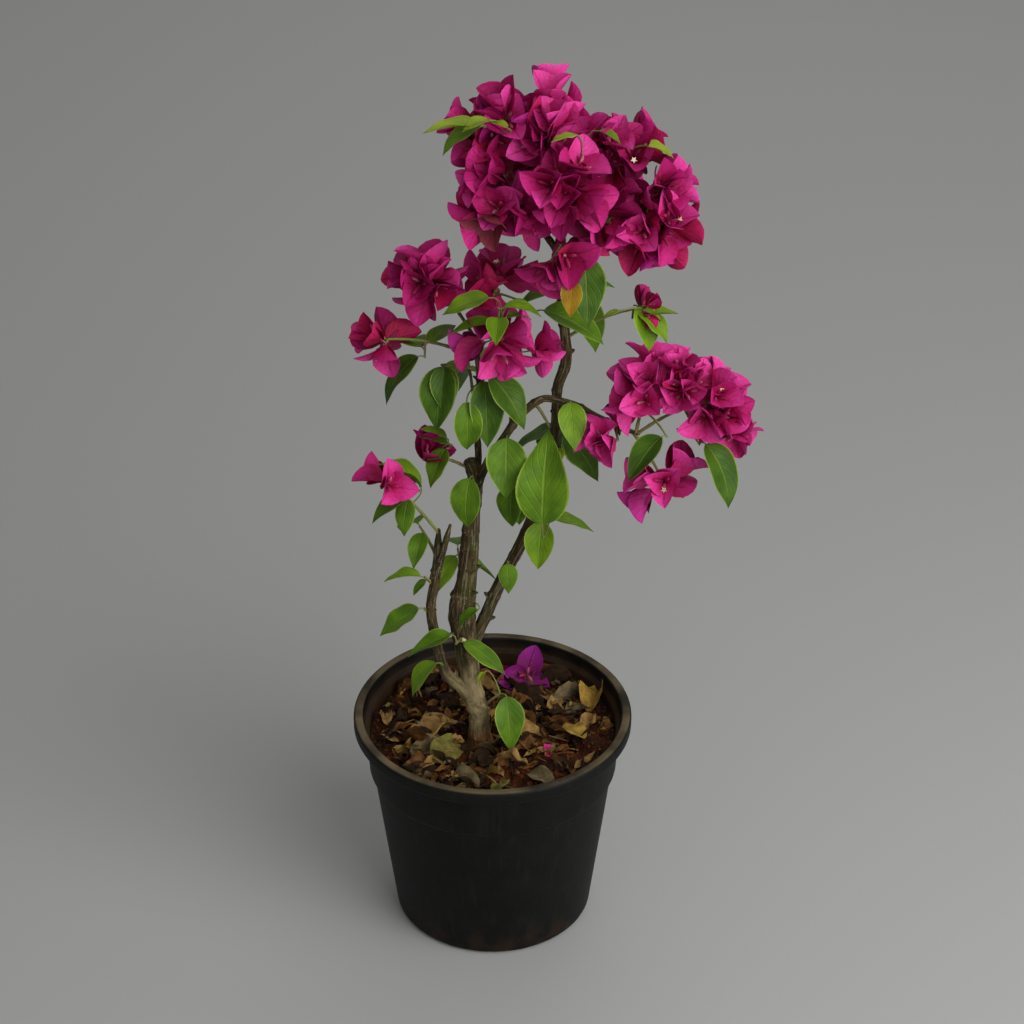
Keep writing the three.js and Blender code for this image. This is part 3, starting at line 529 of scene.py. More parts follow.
def fill_head(names, kept, seed):
    """Blooms between those that a head already has: thrown at the balls to fill, facing away from both the
    ball's middle and the head's, and kept where no other bloom's heart is near."""
    spheres, wanted, sizes = FILLS[names[0].split("_")[0]]
    spacing = FILL_SPACING * sizes[1]
    spheres = np.array(spheres, float)
    table = draws(seed, FILL_TRIES, DRAWS + 1)
    which = np.minimum((table[:, 8] * len(spheres)).astype(int), len(spheres) - 1)
    outward = outwards(table)
    foot = spheres[which, :3] + outward * ((spheres[which, 3] - CORE) * table[:, 2] ** FILL_CROWD)[:, None]
    away = unit(foot - spheres[:, :3].mean(axis=0) + UP * FILL_LIFT)
    axes = unit(outward + away + BLOOM_TILT * (table[:, 3:6] - FILL_TILT_MIDDLE))
    length = BRACT_LENGTH * mix(*sizes, table[:, 7])
    spins = 2 * math.pi * table[:, 6]
    hearts = foot + axes * length[:, None] / 2
    seen = np.array([bloom["heart"] for bloom in kept])
    joints = [*(stems[name][STEM_STOPS // 2:] for name in names), *([bloom["middle"]] for bloom in kept)]
    joints = np.vstack(joints)
    added = []
    for i in range(FILL_TRIES):
        if len(added) == wanted:
            break
        if (span(seen - hearts[i]) < spacing).any():
            continue
        toward = foot[i] - joints
        gone = span(toward)
        fair = (gone > STALK_LEAST) & (toward @ axes[i] > -0.2 * gone)
        if not fair.any() or gone[fair].min() > FILL_STALK:
            continue
        along, _ = bract_frames(axes[i:i + 1], spins[i:i + 1], BRACT_FLARE)
        if clear_of_wood((foot[i] + along[0] * length[i] * 0.6)[None])[0]:
            joint = joints[fair][np.argmin(gone[fair])]
            added.append(dict(joint=joint, foot=foot[i], axis=axes[i], spin=spins[i], length=length[i],
                              heart=hearts[i], middle=(joint + foot[i]) / 2))
            seen = np.vstack([seen, hearts[i]])
            joints = np.vstack([joints, (joint + foot[i]) / 2])
    return added


def read_mass(limb, share, tip, cluster, twig=None):
    """A mass from its row, with every value under its name."""
    twig = twig and dict(zip(TWIG_KEYS, twig))
    return dict(zip(CLUSTER_KEYS, cluster), limb=limb, share=share, tip=tip, twig=twig)


MASSES = {name: read_mass(*row) for name, row in MASS_ROWS.items()}
limbs = {name: Limb(bends) for name, (_, bends) in LIMBS.items()}
balls = {name: dict(centre=np.array(mass["tip"], float), reach=mass["reach"])
         for name, mass in MASSES.items() if "reach" in mass}
stems = {name: risen(limbs[mass["limb"]].at(mass["share"])[0], np.array(mass["tip"], float), STEM_STOPS)
         for name, mass in MASSES.items()}
STEM_RADII = mix(STEM_RADIUS, TWIG_RADIUS, np.arange(STEM_STOPS + 1) / STEM_STOPS)
wood = [limb.stops(WOOD_STOPS) for limb in limbs.values()]
leaves = grow_leaves()
blooms = {name: grow_blooms(name, MASSES[name]) for name in balls}


# Meshes

SHARP_ANGLE = 75


def gradient(low, high, rows):
    """Shares from low to high that crowd at both ends: half of 1 - cos of an even angle."""
    return (1 - np.cos(math.pi * np.linspace(low, high, rows))) / 2


def sweep(paths, radii, sides):
    """Rings of points carried along paths, each ring in the plane across its path."""
    tangents = unit(np.gradient(paths, axis=1))
    chord = unit(paths[:, -1] - paths[:, 0])
    level = np.where(np.abs(chord[:, :1]) < 0.7, np.array([1.0, 0, 0]), np.array([0, 1.0, 0]))
    side = unit(np.cross(level[:, None], tangents))[:, :, None]
    other = np.cross(tangents[:, :, None], side)
    angle = turns(sides)[:, None]
    radii = radii if radii.ndim == 3 else radii[:, :, None]
    return paths[:, :, None] + radii[..., None] * (side * np.cos(angle) + other * np.sin(angle))


def tube(paths, radii, sides, stops=None):
    """Rings along paths, and a lay for them that has no seam: the ring's cosine and sine times its mean
    radius, then the distance along."""
    rings = sweep(paths, radii, sides)
    return rings, around(rings, run(paths) if stops is None else stops)


def around(rings, stops):
    """The lay of a tube, from its rings and the distance along at each."""
    radius = span(rings - rings.mean(axis=2, keepdims=True)).mean(axis=2, keepdims=True)
    return polar(radius, turns(rings.shape[2]), stops[:, :, None])


class Piece:
    """Closed tubes of one kind, gathered as whole arrays and made one mesh. Every shape here is rings of
    points, one row after another, closed at both ends by a fan round the middle of the end ring."""

    def __init__(self):
        self.points, self.lays, self.faces, self.fans = [], [], [], []
        self.face_finish, self.fan_finish = [], []
        self.count = 0

    def add(self, rings, lay=None, finish=0):
        """Tubes from rings[tube, row, corner]. The lay is what a finish reads at each point, here the place
        if none is given, and finish is the number of a finish for all, or for each tube."""
        tubes, rows, sides = rings.shape[:3]
        lay = rings / 1000 if lay is None else lay
        each = rows * sides + 2
        for store, grid in ((self.points, rings), (self.lays, lay)):
            flat = grid.reshape(tubes, rows * sides, 3)
            ends = [grid[:, :1].mean(axis=2), grid[:, -1:].mean(axis=2)]
            store.append(np.concatenate([flat, *ends], axis=1).reshape(-1, 3))
        first = self.count + each * np.arange(tubes)[:, None, None]
        row, here = np.arange(rows - 1)[:, None] * sides, np.arange(sides)
        after = (here + 1) % sides
        quads = np.stack([row + here, row + after, row + sides + after, row + sides + here], axis=-1)
        self.faces.append((first[..., None] + quads).reshape(-1, 4))
        last = (rows - 1) * sides
        bottom = np.stack([np.full(sides, each - 2), after, here], axis=-1)
        top = np.stack([np.full(sides, each - 1), last + here, last + after], axis=-1)
        self.fans.append((first + np.stack([bottom, top]).reshape(-1, 3)).reshape(-1, 3))
        finish = np.broadcast_to(finish, tubes)
        self.face_finish.append(np.repeat(finish, (rows - 1) * sides))
        self.fan_finish.append(np.repeat(finish, 2 * sides))
        self.count += tubes * each

    def build(self, name, slot, finishes, nodes):
        """The mesh, in metres, riding on the part's body and standing for those nodes of the part."""
        faces, fans = np.concatenate(self.faces), np.concatenate(self.fans)
        corners = np.concatenate([faces.ravel(), fans.ravel()])
        starts = np.concatenate([4 * np.arange(len(faces)), faces.size + 3 * np.arange(len(fans))])
        mesh = bpy.data.meshes.new(name)
        mesh.vertices.add(self.count)
        mesh.vertices.foreach_set("co", np.concatenate(self.points).ravel() / 1000)
        mesh.loops.add(len(corners))
        mesh.loops.foreach_set("vertex_index", corners)
        mesh.polygons.add(len(starts))
        mesh.polygons.foreach_set("loop_start", starts)
        for finish in finishes:
            mesh.materials.append(finish)
        mesh.polygons.foreach_set("material_index", np.concatenate(self.face_finish + self.fan_finish))
        lay = mesh.attributes.new("lay", "FLOAT_VECTOR", "POINT")
        lay.data.foreach_set("vector", np.concatenate(self.lays).ravel())
        mesh.update(calc_edges=True)
        mesh.shade_smooth()
        mesh.set_sharp_from_angle(angle=math.radians(SHARP_ANGLE))
        made = bpy.data.objects.new(name, mesh)
        bpy.context.scene.collection.objects.link(made)
        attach(made, "root")
        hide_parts(*nodes)


# Finishes


def tint(text):
    """A colour given as six hexadecimal digits, as Blender's linear red, green, blue and alpha."""
    parts = [int(text[i:i + 2], 16) / 255 for i in (0, 2, 4)]
    return (*(part / 12.92 if part <= 0.04045 else ((part + 0.055) / 1.055) ** 2.4 for part in parts), 1)


def operator(operation):
    """A method that makes a Math node of a value and another term."""
    return lambda self, other: self.math(operation, self, other)


class Value:
    """A number that varies over a surface. Sums on it become Math nodes."""
    __add__ = __radd__ = operator("ADD")
    __mul__ = __rmul__ = operator("MULTIPLY")
    __sub__ = operator("SUBTRACT")

    def __init__(self, finish, socket):
        self.finish, self.socket = finish, socket

    def math(self, operation, *terms):
        """One Math node on these terms."""
        made = self.finish.node("ShaderNodeMath", dict(operation=operation), dict(enumerate(terms)))
        return Value(self.finish, made.outputs[0])

    def __rsub__(self, other):
        return self.math("SUBTRACT", other, self)

    def __neg__(self):
        return self * -1

    def __abs__(self):
        return self.math("ABSOLUTE", self)

    def above(self, low, high):
        """Zero below low, one above high, and smooth between."""
        inputs = {"Value": self, "From Min": low, "From Max": high}
        made = self.finish.node("ShaderNodeMapRange", dict(interpolation_type="SMOOTHSTEP"), inputs)
        return Value(self.finish, made.outputs[0])

    def waves(self, size):
        """A triangle wave from 0 to 1 and back, once in each size."""
        return self.math("PINGPONG", self, size / 2) * (2 / size)


SHINE = 0.22


class Finish:
    """A material while its nodes are put together."""

    def __init__(self, name, shine=SHINE, **numbers):
        self.material = bpy.data.materials.new(name)
        self.material.use_nodes = True
        self.tree = self.material.node_tree
        self.shader = self.tree.nodes["Principled BSDF"]
        self.shader.inputs["Specular IOR Level"].default_value = shine
        for socket, number in numbers.items():
            self.shader.inputs[socket].default_value = number

    def feed(self, socket, value):
        """Sets a socket, or links it."""
        value = value.socket if isinstance(value, Value) else value
        if isinstance(value, bpy.types.NodeSocket):
            self.tree.links.new(value, socket)
        else:
            socket.default_value = value

    def node(self, kind, settings=None, inputs=None):
        """A node of that type: its settings are set first, then its sockets."""
        made = self.tree.nodes.new(kind)
        for setting, value in (settings or {}).items():
            setattr(made, setting, value)
        for socket, value in (inputs or {}).items():
            self.feed(made.inputs[socket], value)
        return made

    def place(self, kind="Object"):
        """Where the surface is, in metres, or with "Normal" the way it faces."""
        return self.node("ShaderNodeTexCoord").outputs[kind]

    def vectors(self, operation, *terms):
        """The outputs of one Vector Math node on these terms."""
        return self.node("ShaderNodeVectorMath", dict(operation=operation), dict(enumerate(terms))).outputs

    def split(self, vector):
        """The three numbers of a vector."""
        parts = self.node("ShaderNodeSeparateXYZ", None, {0: vector}).outputs
        return [Value(self, socket) for socket in parts]

    def lay(self):
        """What the mesh keeps at each point: the vector, then its three numbers."""
        vector = self.node("ShaderNodeAttribute", dict(attribute_name="lay")).outputs["Vector"]
        return vector, *self.split(vector)

    def height(self):
        """Height over the ground, in millimetres."""
        return self.split(self.place())[2] * 1000

    def noise(self, size, detail=2, vector=None, stretch=1):
        """Cloudy noise, about a half on average, with patches of about that size, and longer along z where
        stretch is below one. It lies on Object coordinates in millimetres unless it is given a vector."""
        if vector is None:
            vector, size = self.place(), size / 1000
        scaled = self.vectors("MULTIPLY", vector, (1, 1, stretch))[0]
        inputs = {"Vector": scaled, "Scale": 1 / size, "Detail": detail}
        return Value(self, self.node("ShaderNodeTexNoise", None, inputs).outputs[0])

    def mix(self, first, second, share):
        """A colour that lies at a share of the way from the first to the second. Either may be given as
        digits."""
        first, second = (tint(colour) if isinstance(colour, str) else colour for colour in (first, second))
        inputs = {"Factor": share, 6: first, 7: second}
        return self.node("ShaderNodeMix", dict(data_type="RGBA"), inputs).outputs[2]

    def paint(self, colour, roughness=None, relief=None, depth=1):
        """Feeds the shader: colour, roughness, and relief that stands out by depth millimetres."""
        self.feed(self.shader.inputs["Base Color"], colour)
        if roughness is not None:
            self.feed(self.shader.inputs["Roughness"], roughness)
        if relief is not None:
            bump = self.node("ShaderNodeBump", None, {"Height": relief, "Distance": depth / 1000})
            self.feed(self.shader.inputs["Normal"], bump.outputs[0])
        return self.material


def veins(u, v, count, slant):
    """Lines that leave the midrib at a slant: near one on a line and zero between."""
    return 1 - (u * count - abs(v) * slant).waves(1).above(0.0, 0.3)


def bract_finish(name, light, deep):
    """Papery bract: light towards the tip and deep at the heart, partly the bract's own deeper base and
    partly painted shade inside the bloom's cup, in soft patches, with a deeper midrib and fine slanting
    veins that stand out."""
    finish = Finish(name, Roughness=0.62)
    _, u, v, _ = finish.lay()
    patches = finish.noise(12).above(0.3, 0.75)
    lines = veins(u, v, 6, 2.6) * 0.35
    midrib = 1 - abs(v).above(0.02, 0.12)
    # deep towards the heart: partly the bract's own colour, partly painted shade inside the bloom's cup
    heart = (1 - u).above(0.05, 0.85)
    fine = finish.noise(3, 3)
    share = patches * 0.12 + lines * 0.3 + midrib * 0.25 + heart * 0.75 + fine.above(0.4, 0.65) * 0.16
    return finish.paint(finish.mix(light, deep, share), relief=lines + midrib + fine * 0.9, depth=0.45)


def leaf_finish(name, light, deep):
    """Leaf blade: two greens in soft patches, a paler rim and slanting veins, and a faint quilted relief."""
    finish = Finish(name, shine=0.2)
    _, u, v, _ = finish.lay()
    patches = finish.noise(16).above(0.3, 0.75)
    lines = veins(u, v, 6, 2.8) * 0.5
    midrib = 1 - abs(v).above(0.015, 0.07)
    rim = abs(v).above(0.88, 0.98)
    colour = finish.mix(deep, light, patches * 0.85 + lines * 0.12)
    colour = finish.mix(colour, "a8bc50", midrib * 0.18 + rim * 0.45)
    roughness = 0.4 + finish.noise(6) * 0.2
    return finish.paint(colour, roughness, relief=-lines - midrib + finish.noise(1.8) * 0.4, depth=0.4)


def plain_finish(name, light, deep, size, roughness, depth=0.2):
    """A matte surface of two tones in patches of that size, with a fine grain."""
    finish = Finish(name, Roughness=roughness)
    grain = finish.noise(size / 4)
    colour = finish.mix(deep, light, finish.noise(size).above(0.3, 0.7) * 0.7 + grain * 0.3)
    return finish.paint(colour, relief=grain, depth=depth)


def bark_finish():
    """Bark: pale grey low down, browner and greener above, red-brown at the soil, with striations that run
    lengthwise, pale specks and dark cracks."""
    finish = Finish("bark", Roughness=0.85)
    grain = finish.lay()[0]
    height = finish.height()
    streaks = finish.noise(2.6, 3, grain, 0.12)
    fine = finish.noise(0.9, 3, grain, 0.2)
    patches = finish.noise(12, 2, grain, 0.6)
    clouds = finish.noise(7, 3, grain, 0.5).above(0.35, 0.65)
    pale = finish.noise(1.5, 2, grain, 0.07).above(0.52, 0.66)
    specks = finish.noise(1.4, 1, grain, 0.7).above(0.7, 0.76)
    shares = streaks.above(0.3, 0.7) * 0.5 + clouds * 0.5
    low, brown, olive = (finish.mix(*tones.split(), shares)
                         for tones in ("4f4129 96875f", "231a0c 503f24", "1f230a 404219"))
    brown = finish.mix(brown, olive, patches.above(0.42, 0.6) * (1 - height.above(480, 540)) * 0.8)
    colour = finish.mix(low, brown, (height + patches * 60).above(270, 330))
    for tone, share in (("5e3614", (1 - (height + patches * 10).above(199, 211)) * 0.9),
                        ("30241a", (1 - fine.above(0.26, 0.4)) * 0.6),
                        ("94866a", pale * 0.4),
                        ("cfc6b6", specks * 0.3)):
        colour = finish.mix(colour, tone, share)
    return finish.paint(colour, relief=streaks * 0.8 + fine * 0.6 + clouds * 0.5, depth=1.1)


def twig_finish():
    """Young wood: green-brown with fine lengthwise streaks, and greener patches."""
    finish = Finish("twig", Roughness=0.7)
    streaks = finish.noise(0.9, 2, finish.lay()[0], 0.1)
    colour = finish.mix("5d5234", "8a8550", streaks.above(0.3, 0.7))
    colour = finish.mix(colour, "6f8a3c", finish.noise(20).above(0.45, 0.6) * 0.6)
    return finish.paint(colour, relief=streaks, depth=0.4)


def pot_finish():
    """Moulded black plastic: dust on what faces up, faint vertical rubs, soil stains low down and inside."""
    finish = Finish("pot", shine=0.16)
    height, facing = finish.height(), finish.place("Normal")
    cloud, fine = finish.noise(22, 4), finish.noise(1.8, 3)
    rubs = finish.noise(5, 3, stretch=0.08).above(0.52, 0.75)
    low = (1 - height.above(4, 40)) * cloud.above(0.42, 0.62)
    dust = finish.split(facing)[2].above(0.6, 0.95) * height.above(203, 208)
    worn = finish.noise(60, 1).above(0.35, 0.65) * 0.4 + cloud.above(0.3, 0.7) * 0.4
    across = finish.vectors("MULTIPLY", finish.place(), (-9, -9, 0))[0]
    inward = Value(finish, finish.vectors("DOT_PRODUCT", across, facing)["Value"]).above(0.4, 0.8)
    stain = inward * (1 - (height - cloud * 14).above(184, 200))
    specks = fine.above(0.66, 0.72) * 0.25
    colour = finish.mix("080807", "0e0f0c", cloud.above(0.35, 0.7))
    for tone, share in (("20201c", rubs * 0.3), ("34200f", low * 0.5), ("6c5e46", dust * (0.12 + worn)),
                        ("3c2a18", stain * 0.8), ("6a5e52", specks * (0.2 + dust * 0.8))):
        colour = finish.mix(colour, tone, share)
    roughness = 0.52 + cloud * 0.12 + dust * 0.25
    return finish.paint(colour, roughness, relief=fine + rubs * 0.4, depth=0.15)


def soil_finish():
    """Damp soil: dark red-brown with paler crumbs, and painted shade by the pot's wall, where the wall
    shades the soil.
    """
    finish = Finish("soil", Roughness=0.95)
    crumbs = finish.noise(3, 4)
    flat = finish.vectors("MULTIPLY", finish.place(), (1000, 1000, 0))[0]
    away = Value(finish, finish.vectors("LENGTH", flat)["Value"])
    colour = finish.mix("1a0c04", "54260a", finish.noise(18, 3).above(0.3, 0.7))
    # painted shade: the soil turns darker towards the pot's wall, where the wall shades it
    colour = finish.mix(colour, "140a04", away.above(94, 106) * 0.7)
    colour = finish.mix(colour, "80441a", crumbs.above(0.52, 0.72) * 0.6)
    return finish.paint(colour, relief=crumbs, depth=1.8)


def several(make, kind, rows):
    """Finishes of one kind, from rows of a name, the light and the deep tone, and what numbers it takes."""
    parts = [row.split() for row in rows.split(",")]
    return [make(f"{kind}_{name}", light, deep, *map(float, rest)) for name, light, deep, *rest in parts]


MAGENTA = several(bract_finish, "bract", """magenta c4247e 980a40, bright e0429e b4145c, deep ae1868 7e0636,
    red bc1c5e 900a32, violet bc2a8a 8c0e54, old 8c3444 5a2028, fallen 922086 6a104e""")
OLD = 5
TUBE_FINISHES = several(plain_finish, "tube", "pink b83468 84183c 3 .6, pale c8788a 9a3c5c 3 .6")
TUBE_FINISHES += several(plain_finish, "star", "cream f0ead0 d8cc8c 2 .6")
LEAF_TONES = ["deep", "mid", "light", "young", "yellow"]
GREEN = several(leaf_finish, "leaf", """deep 486814 304e0a, mid 5e8212 44640c, light 78981a 5a7c10,
    young 98ac2a 7a901c, yellow a07c12 86600a""")
# dry-leaf tones; the dark one is partly rotted leaf and partly painted shade for the deep gaps in the litter
DRY = several(plain_finish, "dry", """tan 9e8048 6a4a22 7 .85, brown 744c20 42280e 6 .85,
    dark 36230f 150c05 6 .9, olive 767030 4c4418 7 .8, yellow a88a38 70501c 7 .75,
    grey 786848 443826 6 .9""")
CLODS = several(plain_finish, "clod", """dark 3a1c0a 180a04 3 .95 .6, red 6c3412 441c08 3 .95 .6,
    tan 8c6236 5a381a 3 .95 .6""")


# Blades: leaves and bracts

LEAST_BEND = 0.02
BRACT_SHAPE = dict(BRACT, width_share=0.84, bend=12, rise=0.52, fall=0.68)
BRACT_GRID = (9, 4)
FLARES = (-16, 6)
SET_BACK = 0.12
LEAF_SHAPE = dict(LEAF, width_share=0.63, rise=0.64, fall=1.15)
STALK_RADII = [0.85, 0.7, 0.6, 0.95]
PETIOLE_RADII = [0.8, 0.6, 0.75]
TUBE_RADII = [0.9, 1.15, 1.0, 1.25, 1.55, 1.5, 0.7]
TUBE_FLARE = 20
TUBE_SHARES = (0.44, 0.62)
PALE_TUBES = 0.7
STAR_CHANCE = 0.03
STAR_RISES = np.array([-0.8, 0.3, 0.9, 0.6])
STAR_REACH = 3.4
LEAF_GRID = (18, 10)
LITTER_GRID = (16, 8)
SCRAP_GRID = (11, 4)


def habit(rows, table, **ranges):
    """How each blade departs from its kind: for each name a number for each blade, between two limits."""
    return {name: mix(low, high, table[:rows, column])[:, None, None]
            for column, (name, (low, high)) in enumerate(ranges.items())}


def blade_rings(blades, kind, rows, halves, ways):
    """Closed rings round thin blades. The midrib is an arc that bends away from the face and may twist; the
    halves fold up, curl by v squared and ripple at the rim; the thickness follows the root of 1 - v^2."""
    foot, along, face = (np.asarray(part)[:, None, None] for part in blades[:3])
    length = np.asarray(blades[3])[:, None, None]
    u = gradient(0.05, 0.975, rows)[None, :, None]
    across = np.sin(np.linspace(1, -1, halves + 1) * math.pi / 2)
    v = np.concatenate([across, across[-2:0:-1]])
    over = np.concatenate([np.ones(halves + 1), -np.ones(halves - 1)])
    lift = over * np.sqrt(1 - v**2) * kind["thickness"] / 2
    bend = np.radians(kind["bend"] + ways["bend"])
    bend = np.where(np.abs(bend) < LEAST_BEND, LEAST_BEND, bend)
    middle, up = arc(foot, along, face, length / bend, bend * u)
    twist = (np.radians(ways["twist"]) * u)[..., None]
    side = np.cross(face, along)
    side, up = side * np.cos(twist) + up * np.sin(twist), up * np.cos(twist) - side * np.sin(twist)
    half = half_width(kind, length, u) * ways.get("width", 1)
    fold, phase = np.radians(kind["fold"] + ways["fold"]), ways["phase"]
    ripple = ways["ripple"] * length * np.sin(ways["waves"] * math.pi * u + phase + v) * v**2
    inner = np.sin(math.pi * u)
    raised = np.abs(v) * half * np.sin(fold) + ways["curl"] * half * v**2 + ripple * inner + lift
    if "crumple" in ways:
        wrinkles = np.sin(phase * 7 + 9 * u + 4 * v) * np.sin(phase * 3 + 5 * v - 6 * u)
        raised = raised + ways["crumple"] * length * wrinkles * inner
    rings = middle + side * (v * half * np.cos(fold))[..., None] + up * raised[..., None]
    return rings, np.stack(np.broadcast_arrays(u, v, 0 * length), axis=-1)


def pick(numbers, shares):
    """Deals a finish by seeded numbers: the shares are how often each comes."""
    return np.searchsorted(np.cumsum(shares) / np.sum(shares), numbers)


def stalk_rings(foots, crowns, tips, radii, rows, sides):
    """Tubes along quadratic curves, with the radius given at even steps of the way."""
    t = np.linspace(0, 1, rows)[None, :, None]
    paths = (1 - t) ** 2 * foots[:, None] + 2 * t * (1 - t) * crowns[:, None] + t**2 * tips[:, None]
    thick = np.interp(np.linspace(0, 1, rows), np.linspace(0, 1, len(radii)), radii)
    return tube(paths, thick[None], sides)


def columns(rows, *keys):
    """The values of several blooms or leaves under each key, as an array for each."""
    return [np.array([row[key] for row in rows]) for key in keys]


def add_blooms(bracts, tubes, stalks, kept, seed, shares, flare=BRACT_FLARE, stars=STAR_CHANCE):
    """Blooms: three bracts round the axis, a slender flower tube by each midrib, some with an open star, and
    a stalk that comes up behind along the axis."""
    foot, axis, joint, spin, length = columns(kept, "foot", "axis", "joint", "spin", "length")
    many = len(kept) * BRACTS
    table = draws(seed, many, 11)
    foot = foot - axis * length[:, None] * SET_BACK
    flares = flare + mix(*FLARES, table[::BRACTS, 10])
    along, face = (part.reshape(many, 3) for part in bract_frames(axis, spin, flares))
    foots, lengths = np.repeat(foot, BRACTS, 0), np.repeat(length, BRACTS)
    ways = habit(many, table, bend=(-28, 22), fold=(-2, 20), twist=(-20, 20), ripple=(0.01, 0.055),
                 waves=(1.5, 4), phase=(0, 6), curl=(0.1, 0.6))
    tone = pick(np.repeat(table[::BRACTS, 7], BRACTS) * 0.75 + table[:, 8] * 0.25, shares)
    faded = np.repeat([bloom.get("faded", False) for bloom in kept], BRACTS)
    opened = np.repeat([bloom.get("open", False) for bloom in kept], BRACTS)
    rings, lay = blade_rings((foots, along, face, lengths), BRACT_SHAPE, *BRACT_GRID, ways)
    bracts.add(rings, lay, np.where(faded, OLD, tone))
    lean = bract_frames(axis, spin, TUBE_FLARE)[0].reshape(many, 3)
    aside = unit(along - lean * np.sum(along * lean, axis=1, keepdims=True))
    ends = foots + lean * (lengths * mix(*TUBE_SHARES, table[:, 9]))[:, None] + aside * 1.5
    crowns = (foots + ends) / 2 - aside * 1.5
    rings, lay = stalk_rings(foots + aside * 0.8, crowns, ends, TUBE_RADII, 7, 5)
    tubes.add(rings, lay, (table[:, 8] > PALE_TUBES).astype(int))
    chosen = np.flatnonzero((table[:, 6] < stars) | (opened & (np.arange(many) % BRACTS == 0)))
    if len(chosen):
        paths = ends[chosen][:, None] + unit(lean[chosen])[:, None] * STAR_RISES[:, None]
        lobes = 0.72 + 0.28 * np.cos(np.pi * np.arange(10))
        radii = np.array([[1.4] * 10, STAR_REACH * lobes, STAR_REACH * lobes * 0.93, [0.9] * 10])
        sizes = (lengths[chosen] / BRACT_LENGTH)[:, None, None]
        tubes.add(*tube(paths, radii * sizes, 10, np.zeros((1, 4))), 2)
    rise = span(foot - joint)[:, None]
    stalks.add(*stalk_rings(joint, foot - axis * rise * 0.45, foot + axis * 0.6, STALK_RADII, 7, 5))


def turn_over(leaf, joint):
    """Ends a leaf where it began and starts it where it ended, on another stem."""
    bend = math.radians(LEAF["bend"])
    blade = columns([leaf], "foot", "along", "face", "length")
    tip = blade_points(blade, LEAF, np.array([1.0]), np.array([0.0]))[0, 0]
    along, face = leaf["along"], leaf["face"]
    leaf.update(foot=tip, joint=joint, along=face * math.sin(bend) - along * math.cos(bend),
                face=face * math.cos(bend) + along * math.sin(bend))


def add_leaves(piece, stalks, grown, seed):
    """Leaves: blades, each on a short stalk."""
    foot, along, face, length, joint = columns(grown, "foot", "along", "face", "length", "joint")
    table = draws(seed, len(grown), 8)
    ways = habit(len(grown), table, bend=(-14, 30), fold=(-8, 12), twist=(-18, 18), ripple=(0.01, 0.035),
                 waves=(2, 4.5), phase=(0, 6), curl=(-0.2, 0.05), width=(0.86, 1.1))
    ways["width"] *= np.array([leaf.get("width", 1) for leaf in grown])[:, None, None]
    rings, lay = blade_rings((foot, along, face, length), LEAF_SHAPE, *LEAF_GRID, ways)
    piece.add(rings, lay, np.array([LEAF_TONES.index(leaf["tone"]) for leaf in grown]))
    rise = span(foot - joint)[:, None]
    stalks.add(*stalk_rings(joint, foot - along * rise * 0.4, foot + along * 1.5, PETIOLE_RADII, 6, 6))


# Wood

CARRIERS = {"trunk", "arch_inner", "stem_right"}
STUB_CHANCE = 0.4
STUB_RADII = np.array([1.9, 1.35, 1, 0.78, 0.4])
STUB_LENGTHS = (1.4, 5)
STUB_MARGINS = (12, 8)
JOIN_DEPTH = 5
JOIN_OVERLAP = 1.5
JOIN_SWELL = 0.35
JOIN_REACH = 7
TRUNK_DEPTH = 9
TRUNK_SWELL = 1.12
TIP_TAPER = 0.45
TIP_REACH = 14
PATH_STOPS = 24
TUBE_STEP = 1.6
TUBE_SIDES = 30
SCAR_STEP = 21
SCARS = 40
SCAR_TURN = 2.4
SCAR_WIDTH = 1.9
SCAR_RING = 0.07
SCAR_SIDE = 0.22
BARK_GRAINS = [(1.7, 0.05), (4, 0.07)]
BARK_LUMPS = [(7, 0.05)]
ROOT_REACH = 9
ROOT_SWELL = 1.2
CAP_SHARE = 0.8
CAP_RISE = 0.9
BULGE_HEIGHT = 322
BULGE_REACH = 24
BULGE_SWELL = 3.2


def limb_path(name):
    """A limb's points and radii at close steps. It starts inside what carries it and swells there, or goes
    on from its parent's tip in one curve."""
    parent, bends = LIMBS[name]
    curve = Limb(bends)
    goes_on = parent is not None and bends[0][:3] == LIMBS[parent][1][-1][:3]
    if goes_on:
        curve.knots[0] = limbs[parent].knots[-3]
    for child, (carrier, steps) in LIMBS.items():
        if carrier == name and steps[0][:3] == bends[-1][:3]:
            curve.knots[-1] = limbs[child].knots[2]
    points, radii = curve.stops(PATH_STOPS)
    lead = unit(points[:1] - points[1:2]) * (JOIN_OVERLAP if goes_on else JOIN_DEPTH)
    swell = 1
    if parent is None:
        lead, swell = -UP * TRUNK_DEPTH, TRUNK_SWELL
    points, radii = np.vstack([points[:1] + lead, points]), np.concatenate([radii[:1] * swell, radii])
    steps = run(points)
    even = np.linspace(0, steps[-1], int(steps[-1] / TUBE_STEP) + 2)
    points, radii = resample(points, steps, even), np.interp(even, steps, radii)
    if parent is not None and not goes_on:
        radii = radii * (1 + JOIN_SWELL * np.exp(-np.maximum(even - JOIN_DEPTH, 0) / JOIN_REACH))
    if name not in CARRIERS:
        radii = radii * (1 - TIP_TAPER * smoothstep(even, even[-1] - TIP_REACH, even[-1]))
    return points, radii, even


def scar_stops(table):
    """Where the old leaves sat along a limb."""
    return SCAR_STEP * (np.arange(SCARS) + 0.6 + 0.5 * table[:, 0])


